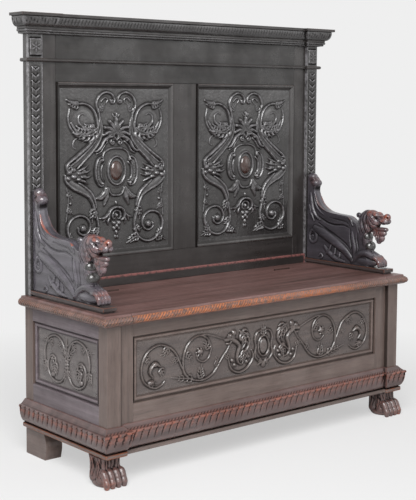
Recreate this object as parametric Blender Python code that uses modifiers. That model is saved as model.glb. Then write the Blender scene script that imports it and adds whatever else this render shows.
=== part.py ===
"""Carved hall bench: a panelled chest with a lift-up seat, winged-lion arms and a panelled back.

Metres, +Z up, the front faces -Y. The origin is under the middle of the bench, on the floor.
"""

import math

import bmesh
import bpy
from mathutils import Matrix, Vector

# Clearances
FIT = 0.0003
LID_GAP = 0.0012
LID_SIDE_GAP = 0.0015

# Edges and joinery
ARRIS = 0.0008
FLAT_ANGLE = math.radians(0.05)
TENON_LENGTH = 0.022
TENON_THICK = 0.008
SHOULDER = 0.012
GROOVE = 0.007

# Chest
BODY_WIDTH = 1.280
BODY_DEPTH = 0.455
CARCASE_HEIGHT = 0.3786
POST_WIDTH = 0.052
POST_DEPTH = 0.044
BREAK = 0.012
FRONT_FRAME_THICK = 0.026
FRONT_STILE_WIDTH = 0.0506
SIDE_FRAME_THICK = 0.024
CHEST_TOP_RAIL = 0.0440
CHEST_BOTTOM_RAIL = 0.1310
CHEST_PANEL_THICK = 0.010
CHEST_PANEL_SINK = 0.0105
BACK_BOARD_THICK = 0.010
BACK_BOARD_SINK = 0.004
FLOOR_THICK = 0.015

# Base
FOOT_HEIGHT = 0.0895
PLINTH_THICK = 0.015
PLINTH_OUT = 0.0137
PLINTH_WIDTH = 0.075
BASE_HEIGHT = 0.0750
BASE_OUT = 0.0275
BASE_SLOPE = 0.020
BASE_FILLET = 0.009
BASE_NECK = 0.005
BASE_LEDGE = 0.004
BASE_ROUND = 0.006
BASE_STEP = 0.001
MITRE_ROOM = 0.002
GADROON_PITCH = 0.030
GADROON_DEPTH = 0.006
# Shares of the pitch at which a gadroon's groove ends, its crest starts and its crest ends
GADROON_SHARES = (0.04, 0.30, 0.70)
PAW_WIDTH = 0.084
PAW_LENGTH = 0.096
PAW_OUT = 0.018
PAW_INSET = 0.004
TOE_COUNT = 4
REAR_FOOT_WIDTH = 0.060
REAR_FOOT_LENGTH = 0.112
REAR_FOOT_SWELL = 0.008

# Seat
SEAT_THICK = 0.032
SEAT_OUT = 0.026
SEAT_END_WIDTH = 0.0765
HINGE_RAIL_DEPTH = 0.110
CLEAT_WIDTH = 0.050
CLEAT_THICK = 0.018
CLEAT_SETBACK = 0.030
CLEAT_OFFSET = 0.340
NOSING_ROUND = 0.010
NOSING_STEP = 0.0025
NOSING_FILLET = 0.001

# Hinges
HINGE_LENGTH = 0.076
HINGE_OFFSET = 0.390
LEAF_HEIGHT = 0.020
LEAF_THICK = 0.0020
LEAF_GAP = 0.0004
KNUCKLE_RADIUS = 0.0035
PIN_RADIUS = 0.0016
KNUCKLE_GAP = 0.0005
AXIS_LIFT = 0.0005
ROD_SIDES = 12

# Arms
ARM_INSET = 0.0265
ARM_PLINTH_WIDTH = 0.050
ARM_PLINTH_LENGTH = 0.402
ARM_PLINTH_THICK = 0.018
ARM_REBATE = 0.006
ARM_THICK = 0.032
ARM_HEIGHT = 0.330
ARM_EDGE = 0.0035
ARM_TOES = 4
SCROLL_SHARE = 0.053
FACET_PHASE = 0.11
SMALL_FORMS = ("toe", "left_ear", "right_ear", "nose", "cap", "brow")

# Back
BACK_HEIGHT = 0.8927
BACK_FRAME_THICK = 0.020
BACK_STILE_WIDTH = 0.108
BACK_TOP_RAIL = 0.203
BACK_BOTTOM_RAIL = 0.1002
MUNTIN_WIDTH = 0.100
BACK_PANEL_THICK = 0.008
BACK_PANEL_SINK = 0.008
SKIRTING_HEIGHT = 0.034
CAP_THICK = 0.009
CORNICE_HEIGHT = 0.065
CORNICE_OUT = 0.0477
CORNICE_BED = 0.004
CORNICE_STEP = 0.002
ASTRAGAL_DROP = 0.1505
ASTRAGAL_RADIUS = 0.006
ASTRAGAL_OUT = 0.0116
BLOCK_HEIGHT = 0.053
BLOCK_WIDTH = 0.042
BLOCK_THICK = 0.005

# Panel mouldings
RING_WIDTH = 0.020
RING_PROUD = 0.003
RING_ROUND = 0.0015
RING_CROWN = 0.005
RING_LIP = 0.002
RING_GROOVE = 0.006
RING_FLOOR = 0.002
RING_BEAD_WIDTH = 0.010
RING_BEAD_HEIGHT = 0.007

# Carved panels: relief over the ground, how deep its ribs are sunk in the board, and a rib's half width
BACK_RELIEF = 0.0065
FRONT_RELIEF = 0.0055
RIB_SINK = 0.0005
RIB_HALF = 0.0065
RIB_END = 0.6
BOSS_PHASE = 0.13
# Width and height of the fields that the ribs below are drawn for
BACK_DRAWING = (0.442, 0.540)
FRONT_DRAWING = (1.034, 0.164)

# Heights of the storeys
PLINTH_BOTTOM = FOOT_HEIGHT + FIT
PLINTH_TOP = PLINTH_BOTTOM + PLINTH_THICK
CARCASE_BOTTOM = PLINTH_TOP + FIT
CARCASE_TOP = CARCASE_BOTTOM + CARCASE_HEIGHT
SEAT_BOTTOM = CARCASE_TOP + FIT
SEAT_TOP = SEAT_BOTTOM + SEAT_THICK
BACK_BOTTOM = SEAT_TOP + FIT
TOP = BACK_BOTTOM + BACK_HEIGHT
FRAME_TOP = TOP - CAP_THICK - FIT
ARM_BOTTOM = BACK_BOTTOM + ARM_PLINTH_THICK + FIT

# Planes from side to side and from back to front
HALF = BODY_WIDTH / 2
POST_INNER = HALF - POST_WIDTH
BACK_Y = (BODY_DEPTH + BASE_OUT) / 2
POST_FRONT = BACK_Y - BODY_DEPTH
FRAME_FRONT = POST_FRONT + BREAK
FRAME_BACK = FRAME_FRONT + FRONT_FRAME_THICK
BACK_FACE = BACK_Y - BACK_FRAME_THICK
PILASTER_FACE = BACK_FACE - BREAK
SEAT_FRONT = POST_FRONT - SEAT_OUT
SEAT_END_INNER = HALF - SEAT_END_WIDTH
HINGE_Y = BACK_Y - HINGE_RAIL_DEPTH
HINGE_AXIS_Y = HINGE_Y - LID_GAP / 2
HINGE_AXIS_Z = SEAT_TOP + AXIS_LIFT
ARM_MIDDLE = HALF - ARM_INSET

# Faces that a panel can look out of: local x runs along it, local y up, local z out of it
FRONT = Matrix(((1, 0, 0), (0, 0, -1), (0, 1, 0)))
LEFT = Matrix(((0, 0, -1), (-1, 0, 0), (0, 1, 0)))
RIGHT = Matrix(((0, 0, 1), (1, 0, 0), (0, 1, 0)))


def collection(name):
    made = bpy.data.collections.new(name)
    bpy.context.scene.collection.children.link(made)
    return made


def file_in(obj, home):
    for owner in list(obj.users_collection):
        owner.objects.unlink(obj)
    home.objects.link(obj)
    return obj


def finish(name, colour, roughness, metallic=0.0):
    """A plain Principled material from an sRGB hex colour."""
    channels = [int(colour[i:i + 2], 16) / 255 for i in (1, 3, 5)]
    linear = [((c + 0.055) / 1.055) ** 2.4 if c > 0.04045 else c / 12.92 for c in channels]
    made = bpy.data.materials.new(name)
    made.use_nodes = True
    shader = made.node_tree.nodes["Principled BSDF"]
    shader.inputs["Base Color"].default_value = (*linear, 1)
    shader.inputs["Roughness"].default_value = roughness
    shader.inputs["Metallic"].default_value = metallic
    made.diffuse_color = (*linear, 1)
    return made


for old in list(bpy.data.objects):
    bpy.data.objects.remove(old)
PARTS = collection("carved_hall_bench")
TOOLS = collection("cutters")
FRAME_WOOD = finish("ebonised_walnut", "#3A3536", 0.42)
CARVED_WOOD = finish("carved_walnut", "#332E2D", 0.36)
SEAT_WOOD = finish("seat_walnut", "#5A3F34", 0.40)
HIDDEN_WOOD = finish("raw_boards", "#6B5743", 0.70)
IRON = finish("blackened_iron", "#2B2A29", 0.45, 0.9)


def part(obj, name, wood):
    obj.name = name
    obj.data.name = name
    obj.data.materials.clear()
    obj.data.materials.append(wood)
    return file_in(obj, PARTS)


def tool(obj, name):
    """Marks an object as a shape that only cuts or joins others."""
    obj.name = name
    obj.hide_render = True
    obj.display_type = "WIRE"
    return file_in(obj, TOOLS)


def cube(low, high):
    low = Vector(low)
    high = Vector(high)
    bpy.ops.mesh.primitive_cube_add(size=1, location=(low + high) / 2)
    obj = bpy.context.object
    obj.data.transform(Matrix.Diagonal((*(high - low), 1)))
    return obj


def ease(obj, width, segments=1):
    bevel = obj.modifiers.new("eased_edges", "BEVEL")
    bevel.width = width
    bevel.segments = segments
    bevel.limit_method = "ANGLE"
    return obj


def board(name, low, high, wood=None):
    """A plain board between two corners, with eased arrises."""
    return ease(part(cube(low, high), name, wood or FRAME_WOOD), ARRIS)


def boolean(obj, other, operation):
    change = obj.modifiers.new(other.name, "BOOLEAN")
    change.operation = operation
    change.solver = "EXACT"
    change.object = other
    return obj


def block_tool(name, low, high, grow=0.0):
    margin = Vector((grow, grow, grow))
    return tool(cube(Vector(low) - margin, Vector(high) + margin), name)


def baked(obj):
    """Turns a curve, or a mesh with its modifiers, into a plain welded mesh object in the same place."""
    bpy.context.view_layer.update()
    evaluated = obj.evaluated_get(bpy.context.evaluated_depsgraph_get())
    mesh = bpy.data.meshes.new_from_object(evaluated)
    shape = bmesh.new()
    shape.from_mesh(mesh)
    bmesh.ops.remove_doubles(shape, verts=shape.verts, dist=1e-6)
    bmesh.ops.recalc_face_normals(shape, faces=shape.faces)
    shape.to_mesh(mesh)
    shape.free()
    made = bpy.data.objects.new(obj.name, mesh)
    made.matrix_world = obj.matrix_world.copy()
    bpy.context.scene.collection.objects.link(made)
    bpy.data.objects.remove(obj)
    bpy.context.view_layer.update()
    return made


def mirrored_pair(left, name):
    """Files a piece of the left side and its mirror image on the right, which shares its mesh."""
    left = part(left, name + "_left", CARVED_WOOD)
    left.data.transform(left.matrix_world)
    left.matrix_world = Matrix.Identity(4)
    right = bpy.data.objects.new(name + "_right", left.data)
    right.scale = (-1, 1, 1)
    PARTS.objects.link(right)


def outline(rings, thickness, turn, place, smooth=False, resolution=4):
    """A flat outline of one or more rings, extruded to a thickness and turned to its face."""
    curve = bpy.data.curves.new("outline", "CURVE")
    curve.dimensions = "2D"
    curve.fill_mode = "BOTH"
    curve.extrude = thickness / 2
    curve.resolution_u = resolution
    for ring in rings:
        spline = curve.splines.new("BEZIER")
        spline.bezier_points.add(len(ring) - 1)
        for point, (x, y, *sharp) in zip(spline.bezier_points, ring):
            point.co = (x, y, 0)
            kind = "AUTO" if smooth and not sharp else "VECTOR"
            point.handle_left_type = kind
            point.handle_right_type = kind
        spline.use_cyclic_u = True
    obj = bpy.data.objects.new("outline", curve)
    obj.matrix_world = Matrix.Translation(place) @ turn.to_4x4()
    bpy.context.scene.collection.objects.link(obj)
    return baked(obj)


def loft(sections, closed=False):
    """Skins a list of like sections, capped at both ends unless the run closes on itself.

    Edges that lie within a flat face are dissolved, so plain stretches stay one face.
    """
    shape = bmesh.new()
    rows = [[shape.verts.new(point) for point in section] for section in sections]
    pairs = list(zip(rows, rows[1:]))
    if closed:
        pairs.append((rows[-1], rows[0]))
    else:
        shape.faces.new(rows[0])
        shape.faces.new(reversed(rows[-1]))
    for row, following in pairs:
        count = len(row)
        for i in range(count):
            j = (i + 1) % count
            shape.faces.new((row[i], row[j], following[j], following[i]))
    bmesh.ops.recalc_face_normals(shape, faces=shape.faces)
    bmesh.ops.dissolve_limit(shape, angle_limit=FLAT_ANGLE, verts=shape.verts, edges=shape.edges)
    mesh = bpy.data.meshes.new("loft")
    shape.to_mesh(mesh)
    shape.free()
    obj = bpy.data.objects.new("loft", mesh)
    bpy.context.scene.collection.objects.link(obj)
    return obj


def mitre(before, after):
    """How a corner moves for each unit that a moulding stands out from the faces on both its sides."""
    return (before + after) / (1 + before.dot(after))


def normal_of(start, end):
    along = (end - start).normalized()
    return Vector((along.y, -along.x))


def moulding(path, profile, closed=False, start_normal=None, end_normal=None, lobes=None):
    """A mitred moulding along a plan path. The profile lists (out from the path, height).

    A lobes function, given a run's length, returns its crest and groove stations with their depth.
    """
    points = [Vector(point) for point in path]
    count = len(points)
    steps = count if closed else count - 1
    normals = [normal_of(points[i], points[(i + 1) % count]) for i in range(steps)]
    sections = []
    for i in range(count):
        before = normals[i - 1] if closed or i else (start_normal or normals[0])
        after = normals[i] if i < steps else (end_normal or normals[-1])
        spread = mitre(before, after)
        sections.append([(*(points[i] + spread * out), height) for out, height in profile(0)])
        if lobes and i < steps:
            run = points[(i + 1) % count] - points[i]
            for distance, depth in lobes(run.length):
                place = points[i] + run.normalized() * distance
                sections.append([(*(place + after * out), height) for out, height in profile(depth)])
    return loft(sections, closed)


def tenoned(name, low, high, axis, wood=None):
    """A rail with a tenon at both ends along an axis, and the mortise cutter that fits it."""
    rail = board(name, low, high, wood)
    low = list(low)
    high = list(high)
    thin = min((i for i in range(3) if i != axis), key=lambda i: high[i] - low[i])
    tall = 3 - axis - thin
    middle = (low[thin] + high[thin]) / 2
    low[thin] = middle - TENON_THICK / 2
    high[thin] = middle + TENON_THICK / 2
    low[tall] += SHOULDER
    high[tall] -= SHOULDER
    low[axis] -= TENON_LENGTH
    high[axis] += TENON_LENGTH
    boolean(rail, block_tool(name + "_tenon", low, high), "UNION")
    return rail, block_tool(name + "_mortise", low, high, FIT)


def ring_profile(proud, sink):
    """A panel moulding: a raised bead at the outside that falls in an ogee to the panel."""
    crown = sink + proud
    steps = 5

    def profile(_):
        bead = [(FIT, FIT), (FIT, crown - proud / 2), (RING_ROUND, crown), (RING_CROWN, crown)]
        fall = []
        start = RING_CROWN + RING_ROUND
        for i in range(steps):
            share = i / (steps - 1)
            rise = (crown - RING_LIP - RING_ROUND / 2) * (1 + math.cos(math.pi * share)) / 2
            fall.append((start + (RING_WIDTH - RING_LIP - start) * share, RING_ROUND + rise))
        return bead + fall + [(RING_WIDTH, FIT)]

    return profile


def bead_profile(_):
    """A chest moulding: a groove beside the frame, a half-round bead and a fillet on the panel."""
    middle = RING_GROOVE + RING_BEAD_WIDTH / 2
    rows = [(FIT, FIT), (FIT, RING_FLOOR)]
    steps = 6
    for i in range(steps + 1):
        turn = math.pi * (1 - i / steps)
        rows.append((middle + RING_BEAD_WIDTH / 2 * math.cos(turn),
                     RING_FLOOR + (RING_BEAD_HEIGHT - RING_FLOOR) * math.sin(turn)))
    return rows + [(RING_WIDTH, RING_FLOOR), (RING_WIDTH, FIT)]


def panel_ring(name, width, height, profile, turn, place):
    """The mitred moulding frame inside a panel opening, standing on the sunk panel."""
    across = width / 2
    up = height / 2
    path = [(across, -up), (-across, -up), (-across, up), (across, up)]
    obj = moulding(path, profile, closed=True)
    obj.matrix_world = Matrix.Translation(place) @ turn.to_4x4()
    return part(obj, name, FRAME_WOOD)


def arc(centre, radii, start, end, steps):
    """Points of an oval arc. Angles are in degrees from right, growing downwards."""
    made = []
    for i in range(steps + 1):
        turn = math.radians(start + (end - start) * i / steps)
        made.append((centre[0] + radii[0] * math.cos(turn), centre[1] + radii[1] * math.sin(turn)))
    return made


def volute(centre, radius, end_radius, start, end, steps):
    """Points of a spiral between two radii."""
    made = []
    for i in range(steps + 1):
        reach = radius + (end_radius - radius) * i / steps
        turn = math.radians(start + (end - start) * i / steps)
        made.append((centre[0] + reach * math.cos(turn), centre[1] + reach * math.sin(turn)))
    return made


def across_middle(half):
    """A line that starts on the middle of a panel, carried on to the other side."""
    return [(-u, t) for u, t in reversed(half[1:])] + half


def back_relief():
    """The main carving of a back panel, in mm right of its middle and down from its top.

    Gives the ribs of the right half, the ribs that lie on the middle, and the bosses.
    """
    paired = [
        arc((43, 46), (35, 32), 30, -190, 5),
        [(72, 66), (68, 115), (86, 160), (130, 202), (196, 250)],
        arc((133, 104), (55, 52), -40, 320, 8),
        [(174, 62), (200, 36)],
        arc((60, 272), (22, 48), -110, 110, 4),
        [(36, 330), (48, 350), (80, 366)],
        [(204, 284), (190, 314), (116, 354), (86, 410)]
        + arc((135, 462), (60, 57), 175, 10, 4) + volute((138, 456), 52, 24, -35, -235, 4),
        [(96, 504), (46, 522)],
    ]
    paired += [volute((0, 156), 16, 60, turn, turn, 1) for turn in (-58, -26)]
    central = [
        volute((0, 156), 16, 60, -90, -90, 1),
        across_middle([(0, 163), (32, 162), (64, 194), (96, 208)]),
        arc((0, 276), (43, 52), 0, 360, 8),
        across_middle([(0, 397), (26, 402), (66, 437)]),
    ]
    bosses = [((0, 277), (31, 38)), ((0, 442), (19, 42)), ((130, 128), (36, 19)), ((150, 288), (42, 14))]
    return paired, central, bosses


def front_relief():
    """The main carving of the front panel, given as that of the back."""
    paired = [
        [(158, 42), (118, 54), (108, 72), (117, 100), (96, 128)],
        [(104, 20), (70, 42), (68, 74), (100, 98)],
        [(152, 106), (138, 142), (104, 153), (66, 140), (48, 106)],
        [(140, 48), (180, 98), (222, 144), (262, 156)]
        + arc((278, 88), (60, 70), 55, -175, 6) + [(262, 98)],
        [(318, 144), (352, 84), (392, 34)] + arc((444, 88), (56, 66), -95, 170, 7) + [(440, 78)],
        [(270, 14), (208, 24), (166, 40)],
        [(8, 28), (34, 40), (34, 82), (38, 110), (8, 132)],
    ]
    central = [arc((0, 82), (24, 34), 0, 360, 8)]
    bosses = [((0, 82), (16, 24)), ((272, 66), (15, 15)), ((446, 104), (14, 14)), ((262, 124), (12, 22))]
    return paired, central, bosses


def carve(panel, relief, drawing, field, place, height):
    """Raises ribs and bosses on both halves of a panel. The place is the field's top middle."""
    paired, central, bosses = relief
    across = field[0] / drawing[0] / 1000
    down = field[1] / drawing[1] / 1000
    rise = height + RIB_SINK
    for side in (-1, 1):
        for points in paired + central * (side > 0):
            line = [(side * u * across, -t * down) for u, t in points]
            boolean(panel, rib(line, rise, place), "UNION")
        for (u, t), (wide, tall) in bosses:
            if u or side > 0:
                centre = (place[0] + side * u * across, place[1] + RIB_SINK, place[2] - t * down)
                boss = ball("boss", centre, (wide * across, rise, tall * down), 0.0, BOSS_PHASE)
                boolean(panel, boss, "UNION")


def rib(points, rise, place):
    """A ridge along a line: a four-sided bar, half sunk in the board, with its ends drawn in.

    A line that comes back to its start makes a closed ring.
    """
    ring = math.dist(points[0], points[-1]) < RIB_SINK
    if ring:
        points = points[:-1]
    curve = bpy.data.curves.new("rib", "CURVE")
    curve.dimensions = "3D"
    curve.twist_mode = "Z_UP"
    curve.bevel_depth = RIB_HALF
    curve.bevel_resolution = 0
    curve.use_fill_caps = True
    spline = curve.splines.new("POLY")
    spline.points.add(len(points) - 1)
    spline.use_cyclic_u = ring
    for point, (x, y) in zip(spline.points, points):
        point.co = (x, y, 0, 1)
    if not ring:
        spline.points[0].radius = RIB_END
        spline.points[-1].radius = RIB_END
    obj = bpy.data.objects.new("rib", curve)
    flatten = Matrix.Diagonal((1, 1, rise / RIB_HALF, 1))
    sunk = Vector(place) + Vector((0, RIB_SINK, 0))
    obj.matrix_world = Matrix.Translation(sunk) @ FRONT.to_4x4() @ flatten
    bpy.context.scene.collection.objects.link(obj)
    return tool(baked(obj), "rib")


def chest_frame():
    """Posts, front frame, end rails, panels and their mouldings."""
    rail_high = CARCASE_TOP - CHEST_TOP_RAIL
    rail_low = CARCASE_BOTTOM + CHEST_BOTTOM_RAIL
    open_height = rail_high - rail_low
    open_middle = (rail_high + rail_low) / 2
    stile_outer = POST_INNER - FIT
    stile_inner = stile_outer - FRONT_STILE_WIDTH
    rail_end = stile_inner - FIT
    front_top, front_top_mortise = tenoned(
        "front_top_rail", (-rail_end, FRAME_FRONT, rail_high), (rail_end, FRAME_BACK, CARCASE_TOP), 0)
    front_low, front_low_mortise = tenoned(
        "front_bottom_rail", (-rail_end, FRAME_FRONT, CARCASE_BOTTOM),
        (rail_end, FRAME_BACK, rail_low), 0)
    panel_front = FRAME_FRONT + CHEST_PANEL_SINK
    panel_low = (-rail_end - GROOVE, panel_front, rail_low - GROOVE)
    panel_high = (rail_end + GROOVE, panel_front + CHEST_PANEL_THICK, rail_high + GROOVE)
    panel = part(cube(panel_low, panel_high), "front_panel", CARVED_WOOD)
    field = (2 * (stile_inner - RING_WIDTH), open_height - 2 * RING_WIDTH)
    carve(panel, front_relief(), FRONT_DRAWING, field, (0, panel_front, rail_high - RING_WIDTH),
          FRONT_RELIEF)
    front_groove = block_tool("front_groove", panel_low, panel_high, FIT)
    boolean(front_top, front_groove, "DIFFERENCE")
    boolean(front_low, front_groove, "DIFFERENCE")
    panel_ring("front_panel_moulding", 2 * stile_inner, open_height, bead_profile,
               FRONT, (0, panel_front, open_middle))
    for side, word in ((-1, "left"), (1, "right")):
        low_x, high_x = sorted((side * stile_inner, side * stile_outer))
        stile = board("front_stile_" + word, (low_x, FRAME_FRONT, CARCASE_BOTTOM),
                      (high_x, FRAME_BACK, CARCASE_TOP))
        for cutter in (front_top_mortise, front_low_mortise, front_groove):
            boolean(stile, cutter, "DIFFERENCE")
        chest_end(side, word, rail_high, rail_low)


def chest_end(side, word, rail_high, rail_low):
    """One end of the chest: two posts, two rails, a panel and its moulding."""
    post_x = sorted((side * POST_INNER, side * HALF))
    front_post = board("front_post_" + word, (post_x[0], POST_FRONT, CARCASE_BOTTOM),
                       (post_x[1], POST_FRONT + POST_DEPTH, CARCASE_TOP))
    rear_post = board("rear_post_" + word, (post_x[0], BACK_Y - POST_DEPTH, CARCASE_BOTTOM),
                      (post_x[1], BACK_Y, CARCASE_TOP))
    frame_x = sorted((side * (HALF - SIDE_FRAME_THICK), side * HALF))
    rail_front = POST_FRONT + POST_DEPTH + FIT
    rail_back = BACK_Y - POST_DEPTH - FIT
    top, top_mortise = tenoned("end_top_rail_" + word, (frame_x[0], rail_front, rail_high),
                               (frame_x[1], rail_back, CARCASE_TOP), 1)
    low, low_mortise = tenoned("end_bottom_rail_" + word, (frame_x[0], rail_front, CARCASE_BOTTOM),
                               (frame_x[1], rail_back, rail_low), 1)
    face_x = side * (HALF - CHEST_PANEL_SINK)
    panel_x = sorted((face_x, face_x - side * CHEST_PANEL_THICK))
    panel_low = (panel_x[0], rail_front - GROOVE, rail_low - GROOVE)
    panel_high = (panel_x[1], rail_back + GROOVE, rail_high + GROOVE)
    part(cube(panel_low, panel_high), "end_panel_" + word, CARVED_WOOD)
    groove = block_tool("end_groove_" + word, panel_low, panel_high, FIT)
    for rail in (top, low):
        boolean(rail, groove, "DIFFERENCE")
    for post in (front_post, rear_post):
        for cutter in (top_mortise, low_mortise, groove):
            boolean(post, cutter, "DIFFERENCE")
    panel_ring("end_panel_moulding_" + word, rail_back - rail_front + 2 * FIT, rail_high - rail_low,
               bead_profile, LEFT if side < 0 else RIGHT,
               (face_x, (rail_front + rail_back) / 2, (rail_high + rail_low) / 2))


def chest_inside():
    """The back board between the rear posts and the floor board notched round all four posts."""
    board_front = BACK_Y - BACK_BOARD_SINK - BACK_BOARD_THICK
    edge = POST_INNER - FIT
    board("chest_back_board", (-edge, board_front, CARCASE_BOTTOM),
          (edge, board_front + BACK_BOARD_THICK, CARCASE_TOP), HIDDEN_WOOD)
    floor_top = CARCASE_BOTTOM + FLOOR_THICK
    floor = part(cube((-edge, FRAME_BACK + FIT, CARCASE_BOTTOM), (edge, board_front - FIT, floor_top)),
                 "chest_floor_board", HIDDEN_WOOD)
    wing = HALF - SIDE_FRAME_THICK - FIT
    wings = block_tool("floor_wings", (-wing, POST_FRONT + POST_DEPTH + FIT, CARCASE_BOTTOM),
                       (wing, BACK_Y - POST_DEPTH - FIT, floor_top))
    boolean(floor, wings, "UNION")


def break_front(face, recess, inner, outer):
    """The plan line of a front whose two ends stand forward, from left to right."""
    half = [(inner, recess), (inner, face), (outer, face)]
    return [(-x, y) for x, y in reversed(half)] + half


def base_profile(depth):
    """A sloped top, a fillet and an ovolo that falls to the plinth, pulled in where a groove is cut."""
    top = CARCASE_BOTTOM + BASE_HEIGHT
    ovolo_top = top - BASE_SLOPE - BASE_FILLET
    drop = ovolo_top - CARCASE_BOTTOM
    swell = BASE_OUT - BASE_STEP - BASE_NECK
    steps = 4
    rows = [(FIT, CARCASE_BOTTOM), (FIT, top), (BASE_LEDGE, top),
            (BASE_OUT - BASE_ROUND, ovolo_top + BASE_FILLET + BASE_ROUND / 3),
            (BASE_OUT, ovolo_top + BASE_FILLET), (BASE_OUT, ovolo_top + BASE_STEP)]
    for i in range(steps):
        turn = math.pi / 2 * i / (steps - 1)
        pull = depth * math.sin(min(turn * 2, math.pi / 2)) * (1 - 0.35 * i / (steps - 1))
        rows.append((BASE_NECK + swell * math.cos(turn) - pull * 0.8, ovolo_top - drop * math.sin(turn)))
    return rows


def gadroons(clear):
    """Spaces grooves and crests evenly along a run, keeping clear of mitres that turn inwards."""

    def stations(length):
        span = length - 2 * clear(length)
        if span < GADROON_PITCH:
            return []
        count = round(span / GADROON_PITCH)
        step = span / count
        groove_end, crest_start, crest_end = [step * share for share in GADROON_SHARES]
        made = []
        for i in range(count):
            start = clear(length) + i * step
            made += [(start + groove_end, GADROON_DEPTH), (start + crest_start, 0), (start + crest_end, 0)]
        return made + [(length - clear(length) - BASE_STEP, GADROON_DEPTH)]

    return stations


def base():
    """The plinth frame, the gadrooned base moulding and the four feet."""
    outer = break_front(POST_FRONT - PLINTH_OUT, FRAME_FRONT - PLINTH_OUT, POST_INNER - PLINTH_OUT,
                        HALF + PLINTH_OUT)
    outer += [(HALF + PLINTH_OUT, BACK_Y), (-HALF - PLINTH_OUT, BACK_Y)]
    inner_x = HALF - PLINTH_WIDTH
    inner_y = (POST_FRONT + PLINTH_WIDTH, BACK_Y - PLINTH_WIDTH)
    inner = [(-inner_x, inner_y[0]), (-inner_x, inner_y[1]),
             (inner_x, inner_y[1]), (inner_x, inner_y[0])]
    plinth = outline([outer, inner], PLINTH_THICK, Matrix.Identity(3),
                     (0, 0, PLINTH_BOTTOM + PLINTH_THICK / 2))
    ease(part(plinth, "base_plinth", FRAME_WOOD), PLINTH_THICK / 5)
    post_run = POST_WIDTH + BREAK
    inward = BASE_OUT + MITRE_ROOM

    def front_clear(length):
        return BASE_STEP if length < post_run else inward

    def side_clear(_):
        return BASE_STEP

    front = moulding(break_front(POST_FRONT, FRAME_FRONT, POST_INNER, HALF), base_profile,
                     start_normal=Vector((-1, 0)), end_normal=Vector((1, 0)), lobes=gadroons(front_clear))
    part(front, "base_moulding_front", CARVED_WOOD)
    corner = POST_FRONT + FIT
    left = moulding([(-HALF, BACK_Y), (-HALF, corner)], base_profile, end_normal=Vector((0, -1)),
                    lobes=gadroons(side_clear))
    right = moulding([(HALF, corner), (HALF, BACK_Y)], base_profile, start_normal=Vector((0, -1)),
                     lobes=gadroons(side_clear))
    part(left, "base_moulding_left", CARVED_WOOD)
    part(right, "base_moulding_right", CARVED_WOOD)
    mirrored_pair(paw_foot(), "paw_foot")
    for side, word in ((-1, "left"), (1, "right")):
        rear_foot(side, word)


def ball(name, centre, radii, tilt=0.0, phase=0.0, segments=8, rings=5):
    """An ellipsoid tool, tipped about the X axis. The phase turns its facets off other seams."""
    bpy.ops.mesh.primitive_uv_sphere_add(segments=segments, ring_count=rings, radius=1)
    obj = bpy.context.object
    spread = Matrix.Diagonal((*radii, 1)) @ Matrix.Rotation(phase, 4, "Z")
    obj.data.transform(Matrix.Translation(centre) @ Matrix.Rotation(tilt, 4, "X") @ spread)
    return tool(obj, name)


def paw_foot():
    """The left front foot, a lion's paw: a furred ankle block with four clawed toes forward."""
    low_x = -HALF - PAW_OUT
    toe_front = POST_FRONT - PLINTH_OUT - PAW_INSET
    toe_length = PAW_LENGTH * 0.28
    heel = toe_front + PAW_LENGTH
    side_room = PAW_WIDTH * 0.05
    ankle = cube((low_x + side_room, toe_front + toe_length, 0),
                 (low_x + PAW_WIDTH - side_room, heel, FOOT_HEIGHT))
    ease(ankle, PAW_WIDTH * 0.14, 2)
    step = PAW_WIDTH / TOE_COUNT
    for i in range(TOE_COUNT):
        toe_x = low_x + step * (i + 0.5)
        reach = toe_length * (1.15 - 0.18 * abs(i - (TOE_COUNT - 1) / 2))
        knuckle = ball(f"knuckle_{i}", (toe_x, toe_front + toe_length * 1.05, FOOT_HEIGHT * 0.36),
                       (step * 0.56, reach, FOOT_HEIGHT * 0.27), 0.5, 0.11 + 0.07 * i)
        toe = ball(f"toe_{i}", (toe_x, toe_front + toe_length * 0.95, FOOT_HEIGHT * 0.18),
                   (step * 0.50, reach, FOOT_HEIGHT * 0.17), 0.05, 0.31 + 0.05 * i)
        for piece in (knuckle, toe):
            boolean(ankle, piece, "UNION")
    wrist_y = (toe_front + toe_length + heel) / 2
    wrist = ball("wrist", (low_x + PAW_WIDTH / 2, wrist_y, FOOT_HEIGHT * 0.62),
                 (PAW_WIDTH * 0.47, PAW_LENGTH * 0.44, FOOT_HEIGHT * 0.36), 0.02, 0.2)
    boolean(ankle, wrist, "UNION")
    return baked(ankle)


def rear_foot(side, word):
    """A plain block foot whose front edge swells."""
    length = REAR_FOOT_LENGTH
    ring = [(0, 0, 1), (0, FOOT_HEIGHT, 1), (length - REAR_FOOT_SWELL, FOOT_HEIGHT, 1),
            (length + REAR_FOOT_SWELL, FOOT_HEIGHT * 0.5), (length, 0, 1)]
    turn = Matrix(((0, 0, -1), (-1, 0, 0), (0, 1, 0)))
    middle = side * (HALF - REAR_FOOT_WIDTH / 2)
    foot = outline([ring], REAR_FOOT_WIDTH, turn, (middle, BACK_Y, 0), smooth=True)
    ease(part(foot, "rear_foot_" + word, FRAME_WOOD), ARRIS)


def nosing():
    """The seat's edge, as (height over the underside, how far it is cut back from the tip)."""
    tip = SEAT_THICK * 0.42
    step_height = SEAT_THICK * 0.81
    shoulder = NOSING_ROUND * 0.8
    return [(0, NOSING_ROUND), (tip * 0.4, NOSING_ROUND * 0.28), (tip, 0),
            (SEAT_THICK * 0.63, NOSING_ROUND * 0.2), (step_height - NOSING_FILLET, shoulder),
            (step_height, shoulder + NOSING_STEP), (SEAT_THICK, NOSING_ROUND + NOSING_STEP)]


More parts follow.
